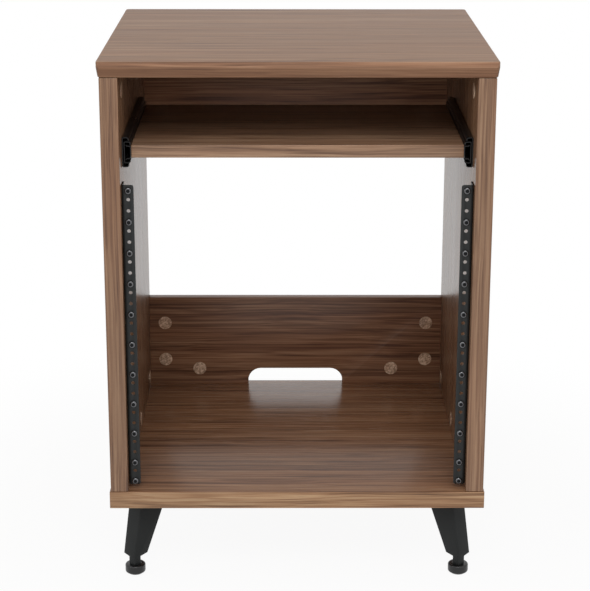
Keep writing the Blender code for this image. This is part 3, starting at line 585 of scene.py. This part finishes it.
def makePerforateTree():  # groups of three holes through a sheet, one group for each rack unit
    tree, net, given, end, ids = newTree("rackHoles", (
        ("Geometry", "NodeSocketGeometry"), ("Radius", "NodeSocketFloat"), ("Depth", "NodeSocketFloat"),
        ("Units", "NodeSocketInt"), ("First", "NodeSocketVector"), ("Unit Step", "NodeSocketVector"),
        ("Second", "NodeSocketVector"), ("Third", "NodeSocketVector"), ("Finish", "NodeSocketMaterial")))
    drill = net.node("GeometryNodeMeshCylinder", None, {
        "Vertices": 28, "Radius": given["Radius"], "Depth": given["Depth"]})
    lying = net.node("GeometryNodeTransform", None, {
        "Geometry": drill, "Rotation": (math.pi / 2, 0.0, 0.0)})
    group = net.node("GeometryNodeJoinGeometry", None, {0: lying})
    for name in ("Second", "Third"):
        other = net.node("GeometryNodeTransform", None, {"Geometry": lying, "Translation": given[name]})
        net.feed(group.socket.node.inputs[0], other)
    row = net.node("GeometryNodeMeshLine", {"mode": "OFFSET"}, {
        "Count": given["Units"], "Start Location": given["First"], "Offset": given["Unit Step"]})
    placed = net.node("GeometryNodeInstanceOnPoints", None, {"Points": row, "Instance": group})
    drills = net.node("GeometryNodeRealizeInstances", None, {0: placed})
    drilled = net.node("GeometryNodeMeshBoolean", {"operation": "DIFFERENCE", "solver": "EXACT"}, {
        0: given["Geometry"], 1: drills})
    endTree(net, end, drilled, given["Finish"])
    return tree, ids


def grown(mesh, treeAndIds, values):  # the mesh that a tree makes with these inputs
    tree, ids = treeAndIds
    made = newObject("grown", mesh)
    modifier = made.modifiers.new("tree", "NODES")
    modifier.node_group = tree
    for title, value in values.items():
        modifier[ids[title]] = value
    return baked(made)


def spotMesh(spots):  # bare points, each a (place, turn) whose turn is an Euler
    mesh = bpy.data.meshes.new("spots")
    mesh.from_pydata([tuple(place) for place, _ in spots], [], [])
    turns = mesh.attributes.new("turn", "FLOAT_VECTOR", "POINT")
    for item, (_, turn) in zip(turns.data, spots):
        item.vector = tuple(turn)
    return mesh


def facing(direction, spin=0.0):  # the Euler that turns +Z to a direction
    quaternion = Vector(direction).to_track_quat("Z", "Y")
    return (quaternion.to_matrix() @ Matrix.Rotation(spin, 3, "Z")).to_euler()


spotTree = makeSpotTree()
rowTree = makeRowTree()
perforateTree = makePerforateTree()
print("node trees are ready")


# Screws. The head has a flat top with a round shoulder, and a hexagon or a cross sunk in it
screwLooks = {
    "rackScrew": {"head": 0.0048, "height": 0.0026, "shoulder": 0.0017, "recess": 0.0028,
                  "depth": 0.0022, "cross": False, "shank": 0.0026, "length": 0.010},
    "railScrew": {"head": 0.0036, "height": 0.0018, "shoulder": 0.0013, "recess": 0.0019,
                  "depth": 0.0011, "cross": True, "shank": 0.0018, "length": 0.008},
    "slideScrew": {"head": 0.0030, "height": 0.0011, "shoulder": 0.0008, "recess": 0.0016,
                   "depth": 0.0008, "cross": True, "shank": 0.0014, "length": 0.008},
    "flushScrew": {"head": 0.0030, "height": 0.0002, "shoulder": 0.0001, "recess": 0.0016,
                   "depth": 0.0008, "cross": True, "shank": 0.0025, "length": 0.008},
    "plateScrew": {"head": 0.0042, "height": 0.0021, "shoulder": 0.0015, "recess": 0.0022,
                   "depth": 0.0013, "cross": True, "shank": 0.0021, "length": 0.010},
}
screwSettings = {"steps": 40, "shoulderSteps": 8, "cutterReach": 0.002,
                 "armShare": 0.24}  # half width of a cross's arm


def screwShape(name):
    s = {**screwSettings, **screwLooks[name]}
    top = s["height"]
    profile = [(0.0, top)]
    profile += arc((s["head"] - s["shoulder"], top - s["shoulder"]), s["shoulder"], math.pi / 2, 0.0,
                   s["shoulderSteps"])
    profile += [(s["head"], 0.0), (s["shank"], 0.0), (s["shank"], -s["length"]), (0.0, -s["length"])]
    if s["cross"]:
        arm = s["recess"] * s["armShare"]
        quarter = [(s["recess"], -arm), (s["recess"], arm), (arm, arm)]
        outline = []
        for turn in range(4):
            c, d = round(math.cos(turn * math.pi / 2)), round(math.sin(turn * math.pi / 2))
            outline += [(x * c - y * d, x * d + y * c) for x, y in quarter]
    else:
        outline = arc((0.0, 0.0), s["recess"], 0.0, math.tau * 5 / 6, 5)
    head = cut(turnedMesh(profile, s["steps"]),
               [prismMesh(outline, top - s["depth"], top + s["cutterReach"])])
    shape = newObject(name, head)
    smooth(shape.data, 35)
    return shape


screws = {name: screwShape(name) for name in screwLooks}


def addScrews(name, kind, spots, finishName, body):
    mesh = grown(spotMesh(spots), spotTree, {
        "Shape": screws[kind], "Size": 1.0, "Finish": finishes[finishName]})
    finish(name, mesh, None, body, (), 35)


# Boards
boardSettings = {"edge": 0.0007, "backEdge": 0.0003, "meet": 0.00028,
                 "topCorner": 0.0048, "topBand": 0.0066, "topSlope": 0.0021,
                 "topLower": 0.0024, "topBreak": 0.0012, "cutoutWidth": 0.157, "cutoutHeight": 0.0265,
                 "cutoutRadius": 0.021}


def boardMesh(low, high, edge=boardSettings["edge"]):
    bm = bmesh.new()
    place = Matrix.Translation((low + high) / 2) @ Matrix.Diagonal((*(high - low), 1.0))
    bmesh.ops.create_cube(bm, size=1.0, matrix=place)
    return bevelled(meshOf("board", bm), edge)


def highBackMesh(low, high):  # its ends meet the side boards
    reach = Vector((boardSettings["meet"], 0.0, 0.0))
    return boardMesh(low - reach, high + reach, boardSettings["backEdge"])


def roundedRing(halfX, halfY, radius, steps=8):
    ring = []
    for quarter, (sx, sy) in enumerate(((1, 1), (-1, 1), (-1, -1), (1, -1))):
        centre = (sx * (halfX - radius), sy * (halfY - radius))
        start = quarter * math.pi / 2
        ring += arc(centre, radius, start, start + math.pi / 2, steps)
    return ring


def topMesh(low, high):  # rings stacked along the shaped edge, from the underside up
    s = boardSettings
    half = (high - low) / 2
    middle = (high + low) / 2
    thick = high.z - low.z
    slopeTop = thick - s["topBreak"] - s["topBand"]
    slope = filleted([(0.0, slopeTop, 0.0), (s["topSlope"], 0.0, s["topLower"]), (half.x, 0.0, 0.0)])
    rows = [tuple(point) for point in slope[-2::-1]]
    rows += arc((s["topBreak"], thick - s["topBreak"]), s["topBreak"], math.pi, math.pi / 2, 6)
    bm = bmesh.new()
    rings = []
    for inset, height in rows:
        ring = roundedRing(half.x - inset, half.y - inset, s["topCorner"])
        rings.append([bm.verts.new((middle.x + x, middle.y + y, low.z + height)) for x, y in ring])
    bm.faces.new(rings[0])
    bm.faces.new(rings[-1])
    for lower, upper in zip(rings, rings[1:]):
        for i in range(len(lower)):
            j = (i + 1) % len(lower)
            bm.faces.new((lower[i], lower[j], upper[j], upper[i]))
    return meshOf("top", bm)


def lowBackMesh(low, high):
    s = boardSettings
    half = s["cutoutWidth"] / 2
    inner = half - s["cutoutRadius"]
    level = low.z + s["cutoutHeight"] - s["cutoutRadius"]
    foot = low.z - s["meet"]
    end = high.x + s["meet"]
    outline = [(end, foot), (end, high.z), (-end, high.z), (-end, foot), (-half, foot)]
    outline += arc((-inner, level), s["cutoutRadius"], math.pi, math.pi / 2, 20)
    outline += arc((inner, level), s["cutoutRadius"], math.pi / 2, 0.0, 20)
    outline.append((half, foot))
    upright = Matrix.Translation((0.0, high.y, 0.0)) @ Matrix.Rotation(math.pi / 2, 4, "X")
    return bevelled(prismMesh(outline, 0.0, high.y - low.y, upright), s["backEdge"], 2, 40)


for node, makeMesh, finishName, body in (
        ("top_panel", topMesh, "laminateTop", "cabinet"),
        ("bottom_panel", boardMesh, "laminateFloor", "cabinet"),
        ("left_side_panel", boardMesh, "laminateLeft", "cabinet"),
        ("right_side_panel", boardMesh, "laminateRight", "cabinet"),
        ("upper_back_panel", highBackMesh, "laminateHighBack", "cabinet"),
        ("lower_back_panel", lowBackMesh, "laminateLowBack", "cabinet"),
        ("pull_out_shelf", boardMesh, "laminateShelf", "shelf")):
    finish(node + "_board", makeMesh(*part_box(node)), finishes[finishName], body,
           [node], 30)
for node in frame["nodes"]:
    if node.endswith("_dowel"):
        frame["nodes"][node].material_slots[0].material = finishes["beechDowel"]
print("boards are made")


# Round covers over the cam fittings
coverSettings = {"radius": 0.0108, "gap": 0.0003, "thickness": 0.0009, "edge": 0.00035, "stem": 0.0072,
                 "stemDepth": 0.004}
camNodes = sorted(node for node in frame["nodes"] if node.endswith("_cam"))


def coverShape():
    s = coverSettings
    top = s["gap"] + s["thickness"]
    profile = [(0.0, top)]
    profile += arc((s["radius"] - s["edge"], top - s["edge"]), s["edge"], math.pi / 2, 0.0, 5)
    profile += [(s["radius"], s["gap"]), (s["stem"], s["gap"]), (s["stem"], -s["stemDepth"]),
                (0.0, -s["stemDepth"])]
    shape = newObject("coverShape", turnedMesh(profile, 56))
    smooth(shape.data, 50)
    return shape


def coverSpot(node):  # a cover's middle and turn, found from the box of its fitting
    s = coverSettings
    low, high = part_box(node)
    reach = s["gap"] + s["thickness"]
    middle = (low + high) / 2
    if "_back_left_" in node or "_back_right_" in node:
        place = Vector((middle.x, low.y + reach, middle.z))
        if "floor" in node:
            place.z = high.z - s["radius"]
        elif "left" in node:
            place.x = high.x - s["radius"]
        else:
            place.x = low.x + s["radius"]
        return place, facing((0, -1, 0))
    left = node.startswith("left")
    height = low.z + s["radius"] if "_top_" in node else high.z - s["radius"]
    place = Vector((high.x - reach if left else low.x + reach, middle.y, height))
    return place, facing((1, 0, 0) if left else (-1, 0, 0))


covers = grown(spotMesh([coverSpot(node) for node in camNodes]), spotTree, {
    "Shape": coverShape(), "Size": 1.0, "Finish": finishes["coverFoil"]})
finish("cam_covers", covers, None, "cabinet", camNodes, 50)
print("cam covers are made")


# Rack rails
railSettings = {"sheet": 0.002, "bend": 0.003, "corner": 0.0032, "holeRadius": 0.0026, "unit": 0.04445,
                "units": 10, "close": 0.0127, "wide": 0.015875, "holeColumns": 0.4651,
                "flangeHole": 0.0022, "flangeScrews": 4, "flangeMargin": 0.050, "setback": 0.0132,
                "edge": 0.00022, "drillReach": 0.003}


def flangeSpots(node):  # depth and height of the screws that hold the rail
    s = railSettings
    low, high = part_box(node)
    pitch = (high.z - low.z - 2 * s["flangeMargin"]) / (s["flangeScrews"] - 1)
    y = low.y + s["sheet"] / 2 + s["setback"]
    return [(y, low.z + s["flangeMargin"] + pitch * k) for k in range(s["flangeScrews"])]


def railMesh(node, side):
    s = railSettings
    low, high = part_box(node)
    wall = s["sheet"] / 2
    free = min(abs(low.x), abs(high.x))
    back = max(abs(low.x), abs(high.x)) - wall
    front = low.y + wall
    corners = [(free, front, 0.0), (back, front, s["bend"]), (back, high.y, 0.0)]
    points = [Vector((side * x, y, low.z)) for x, y in filleted(corners, 8)]
    bm = opened(stripMesh(points, (0.0, 0.0, high.z - low.z), s["sheet"]))
    ends = [edge for edge in bm.edges
            if all(abs(abs(v.co.x) - free) < 1e-5 for v in edge.verts)
            and abs(edge.verts[0].co.z - edge.verts[1].co.z) < 1e-5]
    bmesh.ops.bevel(bm, geom=ends, offset=s["corner"], segments=8, profile=0.5, affect="EDGES")
    mesh = grown(meshOf("rail", bm), perforateTree, {
        "Radius": s["holeRadius"], "Depth": 4 * wall, "Units": s["units"],
        "First": (side * s["holeColumns"] / 2, front, high.z - s["wide"] / 2),
        "Unit Step": (0.0, 0.0, -s["unit"]), "Second": (0.0, 0.0, -s["close"]),
        "Third": (0.0, 0.0, -s["close"] - s["wide"]), "Finish": finishes["railPowderCoat"]})
    reach = s["drillReach"]
    mesh = cut(mesh, [rod((side * (back + reach), y, z), (-side, 0, 0), 2 * reach, s["flangeHole"])
                      for y, z in flangeSpots(node)])
    return bevelled(mesh, s["edge"], 2, 50)


for side, word in sides:
    s = railSettings
    node = word + "_rack_rail"
    low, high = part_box(node)
    finish(word + "_rail", railMesh(node, side), finishes["railPowderCoat"], "cabinet",
           [node], 35)
    heights = [high.z - s["wide"] / 2 - s["unit"] * k for k in range(s["units"])]
    heights.append(heights[-1] - s["close"] - s["wide"])
    addScrews(word + "_rack_screws", "rackScrew", [
        (Vector((side * s["holeColumns"] / 2, low.y, z)), facing((0, -1, 0), 0.5 * k))
        for k, z in enumerate(heights)], "rackScrewZinc", "cabinet")
    inner = max(abs(low.x), abs(high.x)) - s["sheet"]
    addScrews(word + "_rail_fixing_screws", "railScrew", [
        (Vector((side * inner, y, z)), facing((-side, 0, 0), 0.7 * k))
        for k, (y, z) in enumerate(flangeSpots(node))], "screwBlack", "cabinet")
print("rack rails are made")


# Ball slides: three rolled sections that nest, with two cages of balls between them
slideSettings = {"sheet": 0.0012, "bend": 0.0013, "lip": 0.0042, "shelfLip": 0.0017,
                 "shelfLipBend": 0.0015, "ballRadius": 0.0020, "ballRun": 0.0003, "balls": 9,
                 "cageSheet": 0.0006, "cageBend": 0.0007, "cagePastBalls": 0.0014,
                 "holes": (0.035, 0.163, 0.259), "holeRadius": 0.0026, "middleHoleRadius": 0.0045,
                 "slots": (0.075, 0.118, 0.210), "slotHalf": 0.003, "slotRadius": 0.0021,
                 "edge": 0.00012, "drillReach": 0.003}


def sectionCorners(node, kind):  # upper half of a section, as (distance from the middle, height, bend)
    s = slideSettings
    low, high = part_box(node)
    wall = s["sheet"] / 2
    far = max(abs(low.x), abs(high.x)) - wall
    near = min(abs(low.x), abs(high.x)) + wall
    half = (high.z - low.z) / 2
    if kind == "shelf":
        level = half - s["shelfLip"]
        return [(far, half, 0.0), (far, level, s["shelfLipBend"]), (near, level, s["bend"])]
    curl = s["ballRadius"] + s["ballRun"] + wall
    level = half - wall
    return [(near, level - s["lip"], 0.0), (near, level, curl), (far, level, s["bend"])]


def rolledMesh(node, side, corners, sheet, steps):
    low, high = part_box(node)
    middle = (low.z + high.z) / 2
    whole = corners + [(x, -z, bend) for x, z, bend in reversed(corners)]
    points = [Vector((side * x, low.y, middle + z)) for x, z in filleted(whole, steps)]
    return stripMesh(points, (0.0, high.y - low.y, 0.0), sheet)


def memberMesh(node, side, kind):
    s = slideSettings
    low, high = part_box(node)
    middle = (low.z + high.z) / 2
    corners = sectionCorners(node, kind)
    web = side * corners[-1][0]
    reach = s["drillReach"]
    radius = s["middleHoleRadius"] if kind == "middle" else s["holeRadius"]
    holes = [rod((web - reach, low.y + inset, middle), (1, 0, 0), 2 * reach, radius, 24)
             for inset in s["holes"]]
    if kind != "middle":  # slots beside the holes, for adjusting the slide
        for inset in s["slots"]:
            y = low.y + inset
            half = s["slotHalf"]
            outline = arc((half, 0.0), s["slotRadius"], -math.pi / 2, math.pi / 2, 8)
            outline += arc((-half, 0.0), s["slotRadius"], math.pi / 2, math.pi * 1.5, 8)
            turn = Matrix.Rotation(math.pi / 2, 4, "Y") @ Matrix.Rotation(math.pi / 2, 4, "Z")
            holes.append(prismMesh(outline, -reach, reach, Matrix.Translation((web, y, middle)) @ turn))
    return bevelled(cut(rolledMesh(node, side, corners, s["sheet"], 8), holes), s["edge"], 1, 50)


def cageMesh(node, side):
    s = slideSettings
    low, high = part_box(node)
    far = max(abs(low.x), abs(high.x)) - s["cageSheet"] / 2
    tip = min(abs(low.x), abs(high.x)) + s["ballRadius"] - s["cagePastBalls"]
    level = (high.z - low.z) / 2 - s["ballRadius"]
    return rolledMesh(node, side, [(tip, level, 0.0), (far, level, s["cageBend"])], s["cageSheet"], 5)


def ballShape():
    bm = bmesh.new()
    bmesh.ops.create_uvsphere(bm, u_segments=16, v_segments=10, radius=slideSettings["ballRadius"])
    shape = newObject("ballShape", meshOf("ball", bm))
    shape.data.shade_smooth()
    return shape


def ballRows(node, side, ball):  # the upper and the lower row of balls in a cage
    s = slideSettings
    low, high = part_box(node)
    x = side * (min(abs(low.x), abs(high.x)) + s["ballRadius"])
    pitch = (high.y - low.y) / s["balls"]
    rows = []
    for z in (low.z + s["ballRadius"], high.z - s["ballRadius"]):
        rows.append(grown(spotMesh([]), rowTree, {
            "Shape": ball, "Count": s["balls"], "Start": (x, low.y + pitch / 2, z),
            "Step": (0.0, pitch, 0.0), "Finish": finishes["ballSteel"]}))
    return joined(rows)


ball = ballShape()
for side, word in sides:
    s = slideSettings
    for kind, body in (("cabinet", "cabinet"), ("middle", word + "_middle"), ("shelf", "shelf")):
        node = f"{word}_slide_{kind}_member"
        finish(f"{word}_{kind}_section", memberMesh(node, side, kind), finishes["slideBlackZinc"],
               body, [node], 40)
    for kind in ("outer", "inner"):
        node = f"{word}_slide_{kind}_cage"
        body = f"{word}_{kind}_cage"
        finish(f"{word}_{kind}_cage_strip", cageMesh(node, side), finishes["cageStrip"], body,
               [node], 40)
        finish(f"{word}_{kind}_cage_balls", ballRows(node, side, ball), finishes["ballSteel"], body,
               (), 60)
    for kind, away, screw in (("cabinet", -side, "flushScrew"), ("shelf", side, "slideScrew")):
        low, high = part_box(f"{word}_slide_{kind}_member")
        web = max(abs(low.x), abs(high.x)) if kind == "cabinet" else min(abs(low.x), abs(high.x))
        x = side * web + away * s["sheet"]
        addScrews(f"{word}_{kind}_section_screws", screw, [
            (Vector((x, low.y + inset, (low.z + high.z) / 2)), facing((away, 0, 0), inset * 40))
            for inset in s["holes"]], "zincPlate", kind)
print("ball slides are made")


# Legs and levelling feet
legSettings = {"edge": 0.0004, "foldOuter": 0.0022, "foldInner": 0.0009, "plate": 0.003,
               "sideSplay": 0.0132, "frontSplay": 0.0105, "foldBehind": 0.01099, "outerTop": 0.0189,
               "innerTop": 0.0354, "sheet": 0.0025, "plateDepth": 0.054, "screwInset": 0.009,
               "screwPitch": 0.020, "foldLength": 0.08, "foldAngles": (65, 75)}
footSettings = {"steps": 72, "stud": 0.004, "thread": 0.00125, "height": 0.015, "edge": 0.0024,
                "lowerEdge": 0.0028, "baseRadius": 0.0112, "baseHeight": 0.0016, "baseEdge": 0.0005,
                "collarRadius": 0.0086, "collarHeight": 0.0004, "collarEdge": 0.0003, "sunk": 0.0004,
                "rootShare": 0.84, "tipShare": 0.7, "threadTop": 0.0004, "clearTop": 0.001}
bushSettings = {"steps": 56, "radius": 0.0062, "bore": 0.0043, "edge": 0.0005, "boreEdge": 0.0004,
                "lowerEdge": 0.0003}


def foldedLegMesh(node):  # the leg's own shape, with its fold bent round and its edges broken
    s = legSettings
    bm = opened(frame["nodes"][node].data)
    bmesh.ops.remove_doubles(bm, verts=bm.verts, dist=1e-6)
    bmesh.ops.dissolve_limit(bm, angle_limit=math.radians(1), verts=bm.verts, edges=bm.edges)
    least, most = s["foldAngles"]
    for convex, radius in ((True, s["foldOuter"]), (False, s["foldInner"])):
        folds = [edge for edge in bm.edges
                 if edge.calc_length() > s["foldLength"] and edge.is_convex == convex
                 and least < math.degrees(edge.calc_face_angle(0.0)) < most]
        bmesh.ops.bevel(bm, geom=folds, offset=radius, segments=6, profile=0.5, affect="EDGES",
                        clamp_overlap=True)
    return bevelled(meshOf(node, bm), s["edge"], 2, 50)


def plateScrewSpots(footX, footY, side, end, level):
    s = legSettings
    foldX = footX - side * s["sideSplay"]
    foldY = footY + end * (s["foldBehind"] - s["frontSplay"])
    outer = s["outerTop"] - s["sheet"] / 2 - s["screwInset"]
    inner = s["innerTop"] - s["sheet"] / 2 - s["screwInset"]
    deep = s["plateDepth"] - s["screwInset"]
    places = ((side * outer, deep), (-side * inner, deep), (-side * inner, deep - s["screwPitch"]))
    return [(Vector((foldX + x, foldY - end * y, level)), facing((0, 0, -1), 0.4 + k))
            for k, (x, y) in enumerate(places)]


def footMesh(low, high):
    s = footSettings
    radius = (high.x - low.x) / 2
    top = high.z - low.z
    root = s["stud"] * s["rootShare"]
    disc = s["height"] - s["collarHeight"]
    turns = int((top - s["height"] - s["clearTop"]) / s["thread"])
    profile = [(0.0, top), (s["stud"] * s["tipShare"], top)]
    for k in range(turns):
        z = top - s["threadTop"] - k * s["thread"]
        profile += [(root, z), (s["stud"], z - s["thread"] * 0.35), (s["stud"], z - s["thread"] * 0.5)]
    collar = s["collarEdge"]
    profile += [(root, s["height"] + 2 * collar), (root, s["height"]),
                (s["collarRadius"] - collar, s["height"]), (s["collarRadius"], s["height"] - collar),
                (s["collarRadius"] + 0.0002, disc)]
    profile += arc((radius - s["edge"], disc - s["edge"]), s["edge"], math.pi / 2, 0.0, 9)
    profile += arc((radius - s["lowerEdge"], s["baseHeight"] + s["lowerEdge"]), s["lowerEdge"],
                   0.0, -math.pi / 2, 9)
    profile += [(s["baseRadius"], s["baseHeight"]), (s["baseRadius"], s["baseEdge"]),
                (s["baseRadius"] - s["baseEdge"], 0.0), (s["baseRadius"] * 0.8, 0.0),
                (s["baseRadius"] * 0.78, s["sunk"]), (0.0, s["sunk"])]
    return turnedMesh(profile, s["steps"])


def bushMesh(low, high):
    s = bushSettings
    radius, bore, upper, lower = s["radius"], s["bore"], s["boreEdge"], s["lowerEdge"]
    profile = [(bore, high.z - upper), (bore + upper, high.z),
               (radius - s["edge"], high.z), (radius, high.z - s["edge"]),
               (radius, low.z + lower), (radius - lower, low.z),
               (bore + lower, low.z), (bore, low.z + lower)]
    return turnedMesh(profile, s["steps"], True)


for end, row in ((-1, "front"), (1, "back")):
    for side, flank in sides:
        word = f"{row}_{flank}"
        node = word + "_leg"
        finish(word + "_folded_leg", foldedLegMesh(node), finishes["legPowderCoat"], "cabinet",
               [node], 35)
        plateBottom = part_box(node)[1].z - legSettings["plate"]
        node = word + "_levelling_foot"
        low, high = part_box(node)
        middle = (low + high) / 2
        finish(word + "_foot", moved(footMesh(low, high), (middle.x, middle.y, low.z)),
               finishes["footPlastic"], word + "_foot", [node], 35)
        addScrews(word + "_plate_screws", "plateScrew",
                  plateScrewSpots(middle.x, middle.y, side, end, plateBottom), "screwBlack",
                  "cabinet")
        node = word + "_leg_bush"
        finish(word + "_bush", moved(bushMesh(*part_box(node)), (middle.x, middle.y, 0.0)),
               finishes["zincPlate"], "cabinet", [node], 35)
print("legs and feet are made")


# Floor, light and camera
stageSettings = {"ambient": 0.50, "floor": 0.88, "floorHalf": 12.0, "shadowShare": 0.07,
                 "shadowNear": 0.40, "shadowFar": 0.95}
lampSettings = {  # place, target, size, power
    "keyLamp": ((0.0, -2.5, 2.55), (0.0, 0.0, 0.4), (1.8, 1.2), 36.5),
    "leftLamp": ((-2.6, -1.7, 1.5), (0.0, 0.0, 0.4), (1.4, 1.6), 15.0),
    "rightLamp": ((2.6, -1.7, 1.5), (0.0, 0.0, 0.4), (1.4, 1.6), 10.0),
}
cameraSettings = {"place": (-0.0181, -2.650, 1.1744), "pitch": 16.990, "yaw": -0.347, "roll": 0.097,
                  "focal": 1811.3, "pictureSide": 591, "sensor": 36.0}  # focal length in pixels


def raysThatSeeWhite(net):  # the camera's, and those of reflections and clear things
    paths = net.node("ShaderNodeLightPath").socket.node
    camera, glossy, clear = (Wire(net, paths.outputs[f"Is {kind} Ray"])
                             for kind in ("Camera", "Glossy", "Transmission"))
    return camera + glossy + clear


def makeFloor():  # it is seen white, and it keeps a share of the shadow
    s = stageSettings
    material, net, shader = newMaterial("paleFloor", (s["floor"],) * 3, 0.8, specular=0.1)
    place = net.node("ShaderNodeTexCoord", None, None, "Object")
    away = net.node("ShaderNodeVectorMath", {"operation": "LENGTH"}, {0: place}, "Value")
    edge = (s["shadowNear"] + s["shadowFar"]) / 2
    share = (1.0 - away.above(edge, s["shadowFar"] - edge)) * s["shadowShare"]
    glow = net.node("ShaderNodeEmission", None, {"Color": (1.0, 1.0, 1.0, 1.0), "Strength": 1.0})
    mixed = net.node("ShaderNodeMixShader", None, {
        0: raysThatSeeWhite(net) * (1.0 - share), 1: Wire(net, shader.outputs[0]), 2: glow})
    net.feed(material.node_tree.nodes["Material Output"].inputs["Surface"], mixed)
    bm = bmesh.new()
    bmesh.ops.create_grid(bm, x_segments=1, y_segments=1, size=s["floorHalf"])
    floor = newObject("floor", meshOf("floor", bm), bpy.context.scene.collection)
    floor.data.materials.append(material)


def makeWorld():
    world = bpy.data.worlds.new("studio")
    bpy.context.scene.world = world
    world.use_nodes = True
    net = Net(world.node_tree)
    world.node_tree.nodes.remove(world.node_tree.nodes["Background"])
    white = net.node("ShaderNodeBackground", None, {"Color": (1.0, 1.0, 1.0, 1.0), "Strength": 1.0})
    soft = net.node("ShaderNodeBackground", None, {
        "Color": (1.0, 0.99, 0.98, 1.0), "Strength": stageSettings["ambient"]})
    mixed = net.node("ShaderNodeMixShader", None, {0: raysThatSeeWhite(net), 1: soft, 2: white})
    net.feed(world.node_tree.nodes["World Output"].inputs["Surface"], mixed)


def addLamp(name, place, target, size, power):
    data = bpy.data.lights.new(name, "AREA")
    data.shape = "RECTANGLE"
    data.size, data.size_y = size
    data.energy = power
    lamp = bpy.data.objects.new(name, data)
    lamp.location = place
    lamp.rotation_euler = (Vector(target) - Vector(place)).to_track_quat("-Z", "Y").to_euler()
    bpy.context.scene.collection.objects.link(lamp)


def makeCamera():
    s = cameraSettings
    data = bpy.data.cameras.new("camera")
    data.sensor_width = s["sensor"]
    data.lens = s["focal"] / s["pictureSide"] * s["sensor"]
    data.clip_end = 100.0
    made = bpy.data.objects.new("camera", data)
    yaw = Matrix.Rotation(math.radians(s["yaw"]), 4, "Z")
    pitch = Matrix.Rotation(math.radians(90 - s["pitch"]), 4, "X")
    roll = Matrix.Rotation(math.radians(s["roll"]), 4, "Z")
    made.matrix_world = Matrix.Translation(s["place"]) @ yaw @ pitch @ roll
    bpy.context.scene.collection.objects.link(made)
    bpy.context.scene.camera = made


makeFloor()
makeWorld()
for name, lamp in lampSettings.items():
    addLamp(name, *lamp)
makeCamera()
bpy.context.scene.view_settings.view_transform = "Standard"
for leftover in list(workshop.objects):
    bpy.data.objects.remove(leftover, do_unlink=True)
bpy.data.collections.remove(workshop)
print("floor, lights and camera are set")
